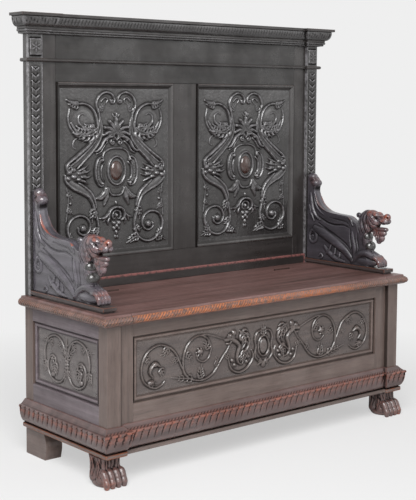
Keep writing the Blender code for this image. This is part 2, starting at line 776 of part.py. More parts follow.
def seat_slab(low_x, high_x, low_y, high_y, cut_left, cut_right):
    """A seat board with the nosing along its front and, where asked, along its outer end."""
    sections = []
    for height, back in nosing():
        z = SEAT_BOTTOM + height
        left = low_x + back * cut_left
        right = high_x - back * cut_right
        front = low_y + back
        sections.append([(left, front, z), (right, front, z), (right, high_y, z), (left, high_y, z)])
    return loft(sections)


def seat(lid_axis):
    """Fixed end boards and hinge rail, the lid with its cleats, and two butt hinges."""
    for side, word in ((-1, "left"), (1, "right")):
        x = sorted((side * SEAT_END_INNER, side * (HALF + SEAT_OUT)))
        end = seat_slab(x[0], x[1], SEAT_FRONT, BACK_Y, side < 0, side > 0)
        part(end, "seat_end_" + word, SEAT_WOOD)
    rail_x = SEAT_END_INNER - FIT
    rail = board("seat_hinge_rail", (-rail_x, HINGE_Y, SEAT_BOTTOM), (rail_x, BACK_Y, SEAT_TOP),
                 SEAT_WOOD)
    lid_x = SEAT_END_INNER - LID_SIDE_GAP
    lid = seat_slab(-lid_x, lid_x, SEAT_FRONT, HINGE_Y - LID_GAP, False, False)
    part(lid, "seat_lid", SEAT_WOOD)
    moving = [lid]
    for side, word in ((-1, "left"), (1, "right")):
        x = side * CLEAT_OFFSET
        cleat = board("lid_cleat_" + word,
                      (x - CLEAT_WIDTH / 2, FRAME_BACK + CLEAT_SETBACK, SEAT_BOTTOM - FIT - CLEAT_THICK),
                      (x + CLEAT_WIDTH / 2, HINGE_Y - CLEAT_SETBACK, SEAT_BOTTOM - FIT), HIDDEN_WOOD)
        moving += [cleat, hinge(side * HINGE_OFFSET, word, rail, lid)]
    for obj in moving:
        obj.parent = lid_axis
        obj.matrix_parent_inverse = lid_axis.matrix_world.inverted()


def rod(name, x0, x1, radius, y=HINGE_AXIS_Y, z=HINGE_AXIS_Z):
    """A round bar along X."""
    turn = Matrix.Rotation(math.pi / 2, 4, "Y")
    bpy.ops.mesh.primitive_cylinder_add(vertices=ROD_SIDES, radius=radius, depth=x1 - x0)
    obj = bpy.context.object
    obj.data.transform(turn)
    obj.location = ((x0 + x1) / 2, y, z)
    return tool(obj, name)


def leaf(name, x, toward, barrels, bore):
    """One hinge leaf: a plate let into the wood's edge, with its knuckles."""
    near = HINGE_AXIS_Y + toward * LEAF_GAP / 2
    y = sorted((near, near + toward * LEAF_THICK))
    plate_top = HINGE_AXIS_Z - KNUCKLE_RADIUS - KNUCKLE_GAP
    plate_low = (x - HINGE_LENGTH / 2, y[0], plate_top - LEAF_HEIGHT)
    plate_high = (x + HINGE_LENGTH / 2, y[1], plate_top)
    plate = part(cube(plate_low, plate_high), name, IRON)
    tab_top = HINGE_AXIS_Z - (KNUCKLE_RADIUS + PIN_RADIUS + FIT) / 2
    for i, (start, end) in enumerate(barrels):
        tab = block_tool(f"{name}_tab_{i}", (start, y[0], plate_top - LEAF_THICK), (end, y[1], tab_top))
        boolean(plate, tab, "UNION")
        boolean(plate, rod(f"{name}_barrel_{i}", start, end, KNUCKLE_RADIUS), "UNION")
    boolean(plate, bore, "DIFFERENCE")
    return plate, block_tool(name + "_recess", plate_low, plate_high, FIT)


def hinge(x, word, rail, lid):
    """A butt hinge: fixed leaf on the rail, moving leaf on the lid, and a pin. Returns the lid's leaf."""
    third = HINGE_LENGTH / 3
    start = x - HINGE_LENGTH / 2
    end = x + HINGE_LENGTH / 2
    fixed_barrels = [(start, start + third - KNUCKLE_GAP), (end - third + KNUCKLE_GAP, end)]
    moving_barrels = [(start + third, end - third)]
    bore = rod("pin_bore_" + word, start - KNUCKLE_GAP, end + KNUCKLE_GAP, PIN_RADIUS + FIT)
    fixed, fixed_recess = leaf("hinge_fixed_leaf_" + word, x, 1, fixed_barrels, bore)
    moving, moving_recess = leaf("hinge_lid_leaf_" + word, x, -1, moving_barrels, bore)
    pin = rod("hinge_pin_" + word, start, end, PIN_RADIUS)
    pin.hide_render = False
    pin.display_type = "TEXTURED"
    part(pin, "hinge_pin_" + word, IRON)
    room = rod("knuckle_room_" + word, start - KNUCKLE_GAP, end + KNUCKLE_GAP,
               KNUCKLE_RADIUS + KNUCKLE_GAP)
    neck = block_tool("tab_room_" + word,
                      (start - KNUCKLE_GAP, HINGE_AXIS_Y - LEAF_THICK - LEAF_GAP,
                       HINGE_AXIS_Z - 2 * KNUCKLE_RADIUS),
                      (end + KNUCKLE_GAP, HINGE_AXIS_Y + LEAF_THICK + LEAF_GAP, HINGE_AXIS_Z))
    for wood, recess in ((rail, fixed_recess), (lid, moving_recess)):
        for cutter in (recess, room, neck):
            boolean(wood, cutter, "DIFFERENCE")
    return moving


def arm_size(x, forward, up):
    """A place or a size on an arm, from shares of its thickness, its plinth's length and its height."""
    return Vector((x * ARM_THICK, -forward * ARM_PLINTH_LENGTH, up * ARM_HEIGHT))


def griffin_outline():
    """The sawn board of an arm, as shares of (length, height); a third value marks a corner."""
    shares = [(0.002, 0, 1), (0.002, 0.952, 1), (0.060, 0.958), (0.109, 0.885), (0.095, 0.794),
              (0.124, 0.697), (0.169, 0.627), (0.249, 0.573), (0.343, 0.552), (0.448, 0.542),
              (0.520, 0.533), (0.577, 0.497), (0.652, 0.455), (0.726, 0.424), (0.754, 0.376),
              (0.761, 0.303), (0.791, 0.212), (0.771, 0.139),
              (0.746, 0, 1)]
    return [(forward * ARM_PLINTH_LENGTH, up * ARM_HEIGHT, *corner) for forward, up, *corner in shares]


def griffin():
    """The left arm: a winged lion from one board, with scroll, mane, open jaws, breast and paw."""
    turn = Matrix(((0, 0, -1), (-1, 0, 0), (0, 1, 0)))
    body = outline([griffin_outline()], ARM_THICK, turn, (0, 0, 0), smooth=True, resolution=2)
    ease(body, ARM_EDGE)
    swellings = {
        "cap": ((0, 0.025, 0.955), (0.53, 0.035, 0.042), 0.0),
        "haunch": ((0, 0.320, 0.222), (0.82, 0.280, 0.066), 0.47),
        "mane": ((0, 0.677, 0.455), (0.84, 0.085, 0.139), 0.0),
        "skull": ((0, 0.784, 0.521), (0.81, 0.104, 0.112), 0.0),
        "cheek": ((0, 0.801, 0.450), (0.72, 0.092, 0.100), 0.0),
        "brow": ((0, 0.881, 0.576), (0.66, 0.035, 0.030), 0.40),
        "nose": ((0, 0.973, 0.564), (0.44, 0.035, 0.042), 0.0),
        "beard": ((0, 0.871, 0.355), (0.47, 0.065, 0.088), 0.0),
        "left_ear": ((-0.50, 0.640, 0.540), (0.25, 0.027, 0.033), 0.0),
        "right_ear": ((0.50, 0.640, 0.540), (0.25, 0.027, 0.033), 0.0),
        "breast": ((0, 0.726, 0.315), (0.70, 0.060, 0.092), 0.0),
        "belly": ((0, 0.746, 0.205), (0.74, 0.067, 0.080), 0.0),
        "foreleg": ((0, 0.736, 0.061), (0.625, 0.179, 0.073), 0.0),
    }
    for i in range(ARM_TOES):
        spread = (i + 0.5) / ARM_TOES - 0.5
        swellings[f"toe_{i}"] = ((1.5 * spread, 0.881, 0.061), (0.20, 0.055, 0.067), 0.0)
    for i, (name, (centre, radii, tilt)) in enumerate(swellings.items()):
        size = [abs(value) for value in arm_size(*radii)]
        facets = (6, 4) if name.startswith(SMALL_FORMS) else (8, 5)
        mass = ball("arm_" + name, arm_size(*centre), size, tilt, FACET_PHASE * (i + 1), *facets)
        boolean(body, mass, "UNION")
    for name, low, high, rounding in (("muzzle", (-0.56, 0.990, 0.473), (0.56, 0.830, 0.575), 0.20),
                                      ("jaw", (-0.48, 0.972, 0.370), (0.48, 0.800, 0.436), 0.14)):
        block = block_tool("arm_" + name, arm_size(*low), arm_size(*high))
        boolean(body, ease(block, rounding * ARM_THICK), "UNION")
    scroll = arm_size(0.59, 0.082, 0.879)
    roll = rod("arm_scroll", -scroll.x, scroll.x, SCROLL_SHARE * ARM_HEIGHT, scroll.y, scroll.z)
    boolean(body, roll, "UNION")
    far = ARM_PLINTH_LENGTH + ARM_HEIGHT
    for name, high in (("under", (far, far, 0)), ("behind", (far, far, far))):
        low = (-far, 0 if name == "behind" else -far, -far)
        boolean(body, block_tool("arm_" + name, low, high), "DIFFERENCE")
    return baked(body)


def arms():
    """Two plinths, rebated under their edges, and the two arms. The right arm mirrors the left."""
    back = PILASTER_FACE - FIT
    front = back - ARM_PLINTH_LENGTH
    half_width = ARM_PLINTH_WIDTH / 2
    for side, word in ((-1, "left"), (1, "right")):
        x = side * ARM_MIDDLE
        plinth = board("arm_plinth_" + word, (x - half_width, front, BACK_BOTTOM + ARM_REBATE),
                       (x + half_width, back, BACK_BOTTOM + ARM_PLINTH_THICK))
        foot_x = half_width - ARM_REBATE
        foot = block_tool("arm_plinth_foot_" + word, (x - foot_x, front + ARM_REBATE, BACK_BOTTOM),
                          (x + foot_x, back - ARM_REBATE,
                           BACK_BOTTOM + (ARM_REBATE + ARM_PLINTH_THICK) / 2))
        boolean(plinth, foot, "UNION")
    arm = griffin()
    arm.matrix_world = Matrix.Translation((-ARM_MIDDLE, back, ARM_BOTTOM)) @ arm.matrix_world
    mirrored_pair(arm, "griffin_arm")


def back_frame():
    """Stiles, rails, muntin, panels with their mouldings, pilasters and the skirting."""
    opening_top = FRAME_TOP - BACK_TOP_RAIL
    opening_low = BACK_BOTTOM + BACK_BOTTOM_RAIL
    stile_inner = HALF - BACK_STILE_WIDTH
    rail_end = stile_inner - FIT
    top, top_mortise = tenoned("back_top_rail", (-rail_end, BACK_FACE, opening_top),
                               (rail_end, BACK_Y, FRAME_TOP), 0)
    low, low_mortise = tenoned("back_bottom_rail", (-rail_end, BACK_FACE, BACK_BOTTOM),
                               (rail_end, BACK_Y, opening_low), 0)
    muntin_x = MUNTIN_WIDTH / 2
    muntin, muntin_mortise = tenoned("back_muntin", (-muntin_x, BACK_FACE, opening_low + FIT),
                                     (muntin_x, BACK_Y, opening_top - FIT), 2)
    panel_front = BACK_FACE + BACK_PANEL_SINK
    for rail in (top, low):
        boolean(rail, muntin_mortise, "DIFFERENCE")
    for side, word in ((-1, "left"), (1, "right")):
        opening = sorted((side * muntin_x, side * stile_inner))
        panel_low = (opening[0] - GROOVE, panel_front, opening_low - GROOVE)
        panel_high = (opening[1] + GROOVE, panel_front + BACK_PANEL_THICK, opening_top + GROOVE)
        if side < 0:
            panel = cube(panel_low, panel_high)
            carve(panel, back_relief(), BACK_DRAWING,
                  (opening[1] - opening[0] - 2 * RING_WIDTH, opening_top - opening_low - 2 * RING_WIDTH),
                  (sum(opening) / 2, panel_front, opening_top - RING_WIDTH), BACK_RELIEF)
            mirrored_pair(baked(panel), "back_panel")
        groove = block_tool("back_groove_" + word, panel_low, panel_high, FIT)
        stile_x = sorted((side * stile_inner, side * HALF))
        stile = board("back_stile_" + word, (stile_x[0], BACK_FACE, BACK_BOTTOM),
                      (stile_x[1], BACK_Y, FRAME_TOP))
        for cutter in (top_mortise, low_mortise):
            boolean(stile, cutter, "DIFFERENCE")
        for member in (top, low, muntin, stile):
            boolean(member, groove, "DIFFERENCE")
        panel_ring("back_panel_moulding_" + word, opening[1] - opening[0], opening_top - opening_low,
                   ring_profile(RING_PROUD, BACK_PANEL_SINK), FRONT,
                   (sum(opening) / 2, panel_front, (opening_top + opening_low) / 2))
        pilaster(side, word)
    skirting_x = POST_INNER - FIT
    board("back_skirting", (-skirting_x, PILASTER_FACE, BACK_BOTTOM),
          (skirting_x, BACK_FACE - FIT, BACK_BOTTOM + SKIRTING_HEIGHT))


def pilaster(side, word):
    """A strip planted on the stile, with a raised leaf block between astragal and cornice."""
    x = sorted((side * POST_INNER, side * HALF))
    strip = board("pilaster_" + word, (x[0], PILASTER_FACE, BACK_BOTTOM),
                  (x[1], BACK_FACE - FIT, FRAME_TOP),
                  CARVED_WOOD)
    middle = sum(x) / 2
    bed = TOP - CORNICE_HEIGHT
    block_low = (bed + TOP - ASTRAGAL_DROP + 2 * ASTRAGAL_RADIUS - BLOCK_HEIGHT) / 2
    block = block_tool("leaf_block_" + word,
                       (middle - BLOCK_WIDTH / 2, PILASTER_FACE - BLOCK_THICK, block_low),
                       (middle + BLOCK_WIDTH / 2, PILASTER_FACE + BLOCK_THICK, block_low + BLOCK_HEIGHT))
    boolean(strip, ease(block, BLOCK_THICK * 0.6), "UNION")


def astragal_profile(_):
    """A half-round bead on a thin fillet."""
    middle = TOP - ASTRAGAL_DROP + ASTRAGAL_RADIUS
    rows = [(FIT, middle - ASTRAGAL_RADIUS), (FIT, middle + ASTRAGAL_RADIUS)]
    steps = 6
    for i in range(steps):
        turn = math.pi * (0.5 - i / (steps - 1))
        rows.append((ASTRAGAL_OUT - ASTRAGAL_RADIUS + ASTRAGAL_RADIUS * math.cos(turn),
                     middle + ASTRAGAL_RADIUS * math.sin(turn)))
    return rows


def cornice_profile(_):
    """From the bed up: a small ovolo, a fillet, a large ovolo, a step and the fillet under the cap."""
    bed = TOP - CORNICE_HEIGHT
    small = CORNICE_OUT * 0.40
    large_start = CORNICE_OUT * 0.50
    large_end = CORNICE_OUT * 0.80
    fillet = bed + CORNICE_HEIGHT * 0.25
    shoulder = bed + CORNICE_HEIGHT * 0.35
    under_cap = TOP - CAP_THICK
    rows = [(FIT, under_cap + CAP_THICK / 3), (FIT, bed)]
    steps = 5
    for i in range(steps):
        turn = math.pi / 2 * i / (steps - 1)
        rows.append((CORNICE_BED + (small - CORNICE_BED) * math.sin(turn),
                     bed + (fillet - bed) * (1 - math.cos(turn))))
    rows += [(small + CORNICE_STEP, fillet), (small + CORNICE_STEP, shoulder), (large_start, shoulder)]
    for i in range(1, steps):
        turn = math.pi / 2 * i / (steps - 1)
        rows.append((large_start + (large_end - large_start) * math.sin(turn),
                     shoulder + (under_cap - CORNICE_STEP - shoulder) * (1 - math.cos(turn))))
    return rows + [(CORNICE_OUT - CORNICE_BED - CORNICE_STEP, under_cap),
                   (CORNICE_OUT - CORNICE_BED, under_cap + CAP_THICK / 3)]


def entablature():
    """The astragal and the cornice, which both break forward over the pilasters."""
    front = break_front(PILASTER_FACE, BACK_FACE, POST_INNER, HALF)
    path = [(-HALF, BACK_Y)] + front + [(HALF, BACK_Y)]
    part(moulding(path, astragal_profile), "astragal", FRAME_WOOD)
    cap_front = break_front(PILASTER_FACE - CORNICE_OUT, BACK_FACE - CORNICE_OUT,
                            POST_INNER - CORNICE_OUT, HALF + CORNICE_OUT)
    cap_ring = cap_front + [(HALF + CORNICE_OUT, BACK_Y), (-HALF - CORNICE_OUT, BACK_Y)]
    cap = outline([cap_ring], CAP_THICK, Matrix.Identity(3), (0, 0, TOP - CAP_THICK / 2))
    cap = part(cap, "cornice", CARVED_WOOD)
    boolean(cap, tool(moulding(path, cornice_profile), "cornice_moulding"), "UNION")


def build():
    lid_axis = bpy.data.objects.new("lid_axis", None)
    lid_axis.location = (0, HINGE_AXIS_Y, HINGE_AXIS_Z)
    PARTS.objects.link(lid_axis)
    bpy.context.view_layer.update()
    chest_frame()
    chest_inside()
    base()
    seat(lid_axis)
    arms()
    back_frame()
    entablature()


build()
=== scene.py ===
"""The looks of the carved hall bench: carved relief, lion arms, paw feet, mouldings and stained walnut."""

import math

import bmesh
import bpy
import numpy as np
from mathutils import Matrix, Vector


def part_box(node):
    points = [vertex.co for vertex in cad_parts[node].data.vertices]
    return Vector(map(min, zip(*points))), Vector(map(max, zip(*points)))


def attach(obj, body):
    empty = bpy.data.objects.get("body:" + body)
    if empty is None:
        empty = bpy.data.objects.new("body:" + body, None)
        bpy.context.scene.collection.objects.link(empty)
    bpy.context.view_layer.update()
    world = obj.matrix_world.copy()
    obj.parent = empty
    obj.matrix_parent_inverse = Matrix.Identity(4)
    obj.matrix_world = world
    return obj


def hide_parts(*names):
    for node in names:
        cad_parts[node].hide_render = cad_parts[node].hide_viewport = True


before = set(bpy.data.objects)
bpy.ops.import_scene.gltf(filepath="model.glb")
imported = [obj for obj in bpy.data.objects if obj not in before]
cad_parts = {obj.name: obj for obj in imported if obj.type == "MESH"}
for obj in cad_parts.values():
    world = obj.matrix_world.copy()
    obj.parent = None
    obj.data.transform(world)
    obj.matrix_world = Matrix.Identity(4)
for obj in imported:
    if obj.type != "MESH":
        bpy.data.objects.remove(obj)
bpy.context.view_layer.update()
MM = 0.001
UP = Vector((0, 0, 1))


# Colours and materials

def colour(code):
    """An sRGB hex colour as linear RGBA."""
    channels = [int(code[i:i + 2], 16) / 255 for i in (1, 3, 5)]
    return (*[((c + 0.055) / 1.055) ** 2.4 if c > 0.04045 else c / 12.92 for c in channels], 1)


def add(tree, kind, inputs=None, output=0, **settings):
    """Adds a node, sets its options, sets or links its inputs, and gives one of its outputs."""
    node = tree.nodes.new("ShaderNode" + kind)
    for key, value in settings.items():
        setattr(node, key, value)
    for key, value in (inputs or {}).items():
        socket = node.inputs[key]
        if isinstance(value, bpy.types.NodeSocket):
            tree.links.new(value, socket)
        else:
            socket.default_value = value
    return node.outputs[output]


def blank(name):
    """A new material, its node tree and its shader."""
    made = bpy.data.materials.new(name)
    made.use_nodes = True
    return made, made.node_tree, made.node_tree.nodes["Principled BSDF"]


# Widths of the figure in walnut, of its fibres, of clouds in the old finish and of rubbed spots, in mm
FIGURE_MM = 24
FIBRE_MM = 2.6
CLOUD_MM = 130
SPOT_MM = 13
# The figure and the fibres run twenty times longer along the grain than across it
GRAIN_STRETCH = 0.05
# Near black of pores, of grime and of painted shade in hollows, grooves and gaps
DIRT_AND_SHADE_TONE = "#0B0908"


def stained_wood(name, grain, dark, light, rough, worn="#7A4227", box=None, edge_mm=3.0, polish=0.6,
                 sunk=()):
    """Walnut, stained nearly black, oiled and waxed by hand for a century.

    The eye sees a soft streaky figure along the board, fine dark pores, cloudy patches where the wax is
    dull, grime and painted shade in the hollows and red-brown wood where edges and high places are rubbed
    bare; where the worn tone is light grey it is a painted highlight on crests and high relief instead.
    Carved pieces carry hollows and rubbed places as attributes. A plain board is rubbed along the edges of
    its own box, and a moulding gets painted shade from one place along an axis to another.
    """
    made, tree, shader = blank(name)
    place = add(tree, "TexCoord", output="Object")
    stretch = [GRAIN_STRETCH if axis == grain else 1.0 for axis in "xyz"]
    along = add(tree, "Mapping", {"Vector": place, "Scale": stretch})
    figure = add(tree, "TexNoise", {"Vector": along, "Scale": 1000 / FIGURE_MM, "Detail": 5,
                                    "Roughness": 0.6, "Distortion": 0.5})
    fibre = add(tree, "TexNoise", {"Vector": along, "Scale": 1000 / FIBRE_MM, "Detail": 2})
    cloud = add(tree, "TexNoise", {"Vector": place, "Scale": 1000 / CLOUD_MM, "Detail": 6, "Roughness": 0.65})
    spot = add(tree, "TexNoise", {"Vector": place, "Scale": 1000 / SPOT_MM, "Detail": 4})
    streak = add(tree, "MapRange", {0: figure, 1: 0.30, 2: 0.72})
    dull = add(tree, "MapRange", {0: cloud, 1: 0.40, 2: 0.68, 4: 0.45})
    pore = add(tree, "MapRange", {0: fibre, 1: 0.54, 2: 0.76, 4: 0.35})
    # Wear from the mesh and box edges; on woods whose worn tone is light grey it is a painted highlight
    rubbed_and_lit = add(tree, "Attribute", output="Fac", attribute_name="wear")
    if box:
        edge = near_edges(tree, place, box, edge_mm * MM)
        rubbed_and_lit = add(tree, "Math", {0: rubbed_and_lit, 1: edge}, operation="ADD")
    # Hollows marked on carved meshes: dirt and painted shade
    dirt_and_shade_share = add(tree, "Attribute", output="Fac", attribute_name="cavity")
    # Bands along an axis, darkened as painted shade in grooves, gaps and breaks
    for axis, crown, floor, shade_share in sunk:
        depth = add(tree, "SeparateXYZ", {0: place}, axis)
        depth = add(tree, "MapRange", {0: depth, 1: crown, 2: floor, 4: shade_share})
        dirt_and_shade_share = add(tree, "Math", {0: dirt_and_shade_share, 1: depth}, operation="ADD", use_clamp=True)
    uneven = add(tree, "MapRange", {0: spot, 1: 0.34, 2: 0.60, 3: 0.12})
    rubbed_and_lit = add(tree, "Math", {0: rubbed_and_lit, 1: uneven}, operation="MULTIPLY", use_clamp=True)
    # Hollows and shaded bands are mixed towards near black: dirt and painted shade
    darkening = add(tree, "Math", {0: dirt_and_shade_share, 1: 0.9}, operation="MULTIPLY")
    body = colour(dark)
    for share, tone in ((streak, light), (dull, dark), (pore, DIRT_AND_SHADE_TONE), (rubbed_and_lit, worn), (darkening, DIRT_AND_SHADE_TONE)):
        body = add(tree, "Mix", {0: share, 6: body, 7: colour(tone)}, 2, data_type="RGBA")
    tree.links.new(body, shader.inputs["Base Color"])
    gloss = add(tree, "MapRange", {0: cloud, 1: 0.35, 2: 0.65, 3: rough[0], 4: rough[1]})
    matt = add(tree, "Math", {0: dirt_and_shade_share, 1: 0.3, 2: gloss}, operation="MULTIPLY_ADD")
    tree.links.new(matt, shader.inputs["Roughness"])
    sheen = add(tree, "MapRange", {0: dirt_and_shade_share, 3: polish, 4: 0.1 * polish})
    waxed = add(tree, "MapRange", {0: cloud, 1: 0.36, 2: 0.62, 3: 1.1, 4: 0.75})
    sheen = add(tree, "Math", {0: sheen, 1: waxed}, operation="MULTIPLY")
    tree.links.new(sheen, shader.inputs["Specular IOR Level"])
    relief = add(tree, "Math", {0: fibre, 1: 0.4, 2: figure}, operation="MULTIPLY_ADD")
    bump = add(tree, "Bump", {"Height": relief, "Strength": 0.25, "Distance": 0.5 * MM})
    tree.links.new(bump, shader.inputs["Normal"])
    return made


def near_edges(tree, place, box, width):
    """2 on the edges of a box, falling to 0 at a width from them."""
    split = add(tree, "SeparateXYZ", {0: place}, "X").node
    near = []
    for axis in range(3):
        middle = (box[0][axis] + box[1][axis]) / 2
        half = (box[1][axis] - box[0][axis]) / 2
        offset = add(tree, "Math", {0: split.outputs[axis], 1: middle}, operation="SUBTRACT")
        offset = add(tree, "Math", {0: offset}, operation="ABSOLUTE")
        offset = add(tree, "Math", {0: half, 1: offset}, operation="SUBTRACT")
        near.append(add(tree, "Math", {0: offset}, operation="ABSOLUTE"))
    low = add(tree, "Math", {0: near[0], 1: near[1]}, operation="MINIMUM")
    high = add(tree, "Math", {0: near[0], 1: near[1]}, operation="MAXIMUM")
    second = add(tree, "Math", {0: high, 1: near[2]}, operation="MINIMUM")
    second = add(tree, "Math", {0: low, 1: second}, operation="MAXIMUM")
    return add(tree, "MapRange", {0: second, 2: width, 3: 2.0, 4: 0.0})


PIT_MM = 1.2


def worked_iron():
    """Wrought iron, blackened in the forge: dark and dull, with brown rust in its pits."""
    made, tree, shader = blank("blackened_iron")
    place = add(tree, "TexCoord", output="Object")
    pits = add(tree, "TexNoise", {"Vector": place, "Scale": 1000 / PIT_MM, "Detail": 4})
    rust = add(tree, "MapRange", {0: pits, 1: 0.5, 2: 0.7})
    tone = add(tree, "Mix", {0: rust, 6: colour("#3A2D29"), 7: colour("#5A4036")}, 2, data_type="RGBA")
    tree.links.new(tone, shader.inputs["Base Color"])
    bump = add(tree, "Bump", {"Height": pits, "Strength": 0.4, "Distance": 0.2 * MM})
    tree.links.new(bump, shader.inputs["Normal"])
    shader.inputs["Metallic"].default_value = 0.6
    shader.inputs["Roughness"].default_value = 0.5
    return made


# Carving: reliefs are heights over a grid, masses are fused from lumps and then chased

# How far apart points lie on a relief's strokes, on a mass's and on a sawn outline, in mm
STROKE_SPACING = 1.6
MASS_SPACING = 4
OUTLINE_SPACING = 3
MASS_BLUFF = 0.6
TOOL_MARK_MM = 0.32
PETALS = 6


def smooth_path(points, spacing):
    """A smooth curve through a few points, as closely spaced points."""
    knots = np.array(points, float)
    ends = np.vstack([2 * knots[0] - knots[1], knots, 2 * knots[-1] - knots[-2]])
    made = []
    for a, b, c, d in zip(ends, ends[1:], ends[2:], ends[3:]):
        count = max(2, int(np.linalg.norm(c - b) / spacing))
        x = np.linspace(0, 1, count, endpoint=False)[:, None]
        made.append(b + 0.5 * x * (c - a + x * (2 * a - 5 * b + 4 * c - d + x * (3 * (b - c) + d - a))))
    return np.vstack(made + [knots[-1:]])


def spaced(values, count):
    """A few values, spread evenly along a stroke."""
    values = np.atleast_1d(np.array(values, float))
    return np.interp(np.linspace(0, 1, count), np.linspace(0, 1, len(values)), values)


def spiral(centre, radius, start, turns, end):
    """Points of a spiral from an outer to an inner radius. Angles are in degrees from +u towards +t."""
    count = max(6, int(abs(turns) * 10))
    made = []
    for i in range(count + 1):
        turn = math.radians(start + 360 * turns * i / count)
        reach = radius + (end - radius) * i / count
        made.append((centre[0] + reach * math.cos(turn), centre[1] + reach * math.sin(turn)))
    return made


def arc(centre, radii, start, end, count):
    """Points along a part of an oval, between two angles in degrees."""
    turns = np.radians(np.linspace(start, end, count + 1))
    return [(centre[0] + radii[0] * math.cos(turn), centre[1] + radii[1] * math.sin(turn)) for turn in turns]


def soften(field, times):
    """Rounds a height map a little, as wear and wax do."""
    for _ in range(times):
        field = np.pad(field, 1, mode="edge")
        field = (field[:-2] + 2 * field[1:-1] + field[2:]) / 4
        field = (field[:, :-2] + 2 * field[:, 1:-1] + field[:, 2:]) / 4
    return field


def rib(u, t, ends, wide, high, bluff):
    """Heights at points (u, t) of one straight piece of a rib, whose width and height change along it."""
    start, run = ends[0], ends[1] - ends[0]
    across, down = u - start[0], t - start[1]
    share = np.clip((across * run[0] + down * run[1]) / max(run @ run, 1e-9), 0, 1)
    away = np.hypot(across - share * run[0], down - share * run[1])
    half = wide[0] + share * (wide[1] - wide[0])
    rise = high[0] + share * (high[1] - high[0])
    return rise * np.clip(1 - (away / half) ** 2, 0, 1) ** bluff


class Relief:
    """A carved face as heights over a grid, in millimetres: u right of its middle, t down from its top."""

    def __init__(self, width, height, step, slender=1.0):
        self.slender = slender
        self.u = np.linspace(-width / 2, width / 2, round(width / step) + 1)
        self.t = np.linspace(0, height, round(height / step) + 1)
        self.high = np.zeros((len(self.t), len(self.u)))
        self.cut = np.zeros_like(self.high)

    def stroke(self, points, wide, high, bluff=0.5, cut=False):
        """A rib, or with cut a groove, along a smooth line. Widths and heights run from start to end."""
        path = smooth_path(points, STROKE_SPACING)
        wide = self.slender * spaced(wide, len(path))
        high = spaced(high, len(path))
        field = self.cut if cut else self.high
        for i in range(len(path) - 1):
            pair = slice(i, i + 2)
            reach = wide[pair].max()
            near, far = path[pair].min(axis=0) - reach, path[pair].max(axis=0) + reach
            columns = slice(*np.searchsorted(self.u, (near[0], far[0])))
            rows = slice(*np.searchsorted(self.t, (near[1], far[1])))
            grid = self.u[columns][None, :], self.t[rows][:, None]
            shape = rib(*grid, path[pair], wide[pair], high[pair], bluff)
            field[rows, columns] = np.maximum(field[rows, columns], shape)

    def boss(self, centre, radii, high, bluff=0.5):
        """A dome."""
        away = np.hypot((self.u[None, :] - centre[0]) / radii[0], (self.t[:, None] - centre[1]) / radii[1])
        np.maximum(self.high, high * np.clip(1 - away ** 2, 0, 1) ** bluff, out=self.high)

    def ring(self, centre, radii, wide, high):
        """An oval rib."""
        self.stroke(arc(centre, radii, 0, 360, 32), wide, high)

    def leaf(self, spine, wide, high, lobes):
        """An acanthus leaf: pairs of rounded lobes sweep forward from a spine, and a vein is cut along it."""
        path = smooth_path(spine, STROKE_SPACING)
        last = len(path) - 1
        for i in range(lobes):
            share = 0.05 + 0.75 * i / lobes
            at = path[int(share * last)]
            ahead = path[min(int(share * last) + 4, last)] - at
            ahead = ahead / max(np.linalg.norm(ahead), 1e-6)
            side = np.array((-ahead[1], ahead[0]))
            reach = wide * (1.1 - 0.75 * share)
            for hand in (-1, 1):
                bend = at + reach * (0.70 * hand * side + 0.25 * ahead)
                tip = at + reach * (0.85 * hand * side + 1.0 * ahead)
                self.stroke([at, bend, tip], (0.2 * reach, 0.34 * reach, 0.13 * reach),
                            (0.7 * high, 0.95 * high, 0.65 * high))
        self.stroke(spine, (0.3 * wide, 0.28 * wide, 0.14 * wide), (0.85 * high, high, 0.75 * high))
        self.stroke(spine, 0.1 * wide, 0.35 * high, cut=True)

    def flower(self, centre, radius, high):
        """Petals round a boss."""
        for ray in np.array(arc((0, 0), (1, 1), 0, 360, PETALS)[:-1]):
            self.stroke([centre + 0.3 * radius * ray, centre + 0.75 * radius * ray],
                        (0.16 * radius, 0.32 * radius), (0.6 * high, 0.8 * high))
        self.boss(centre, (0.3 * radius, 0.3 * radius), high)

    def surface(self, depth=1.0):
        """The finished heights in metres, mirrored about the middle, with tool marks on the ground."""
        high = np.maximum(self.high, self.high[:, ::-1])
        cut = np.maximum(self.cut, self.cut[:, ::-1])
        marks = soften(np.random.default_rng(7).normal(0, TOOL_MARK_MM, high.shape), 4)
        return MM * (depth * soften(np.maximum(high - cut, 0), 1) + marks)


def select(*objects):
    """Selects only these objects, the first of them active."""
    bpy.ops.object.select_all(action="DESELECT")
    for obj in objects:
        obj.select_set(True)
    bpy.context.view_layer.objects.active = objects[0]


def primitive(kind, **settings):
    """Adds a primitive with nothing else selected."""
    bpy.ops.object.select_all(action="DESELECT")
    getattr(bpy.ops.mesh, f"primitive_{kind}_add")(**settings)
    return bpy.context.object


def coordinates(mesh, what="co"):
    """Where a mesh's points lie or, for "normal", which way they face."""
    flat = np.empty(len(mesh.vertices) * 3)
    mesh.vertices.foreach_get(what, flat)
    return flat.reshape(-1, 3)


def place_points(mesh, points):
    """Moves all points of a mesh."""
    mesh.vertices.foreach_set("co", np.ascontiguousarray(points, float).ravel())
    mesh.update()


def mark(mesh, name, values):
    """Writes a value for each point, which the materials read."""
    layer = mesh.attributes.new(name, "FLOAT", "POINT")
    layer.data.foreach_set("value", np.ascontiguousarray(values, np.float32))


# Rounds of averaging that show how a surface bends nearby and then, with more of them, further off
AGE_ROUNDS = (5, 20)


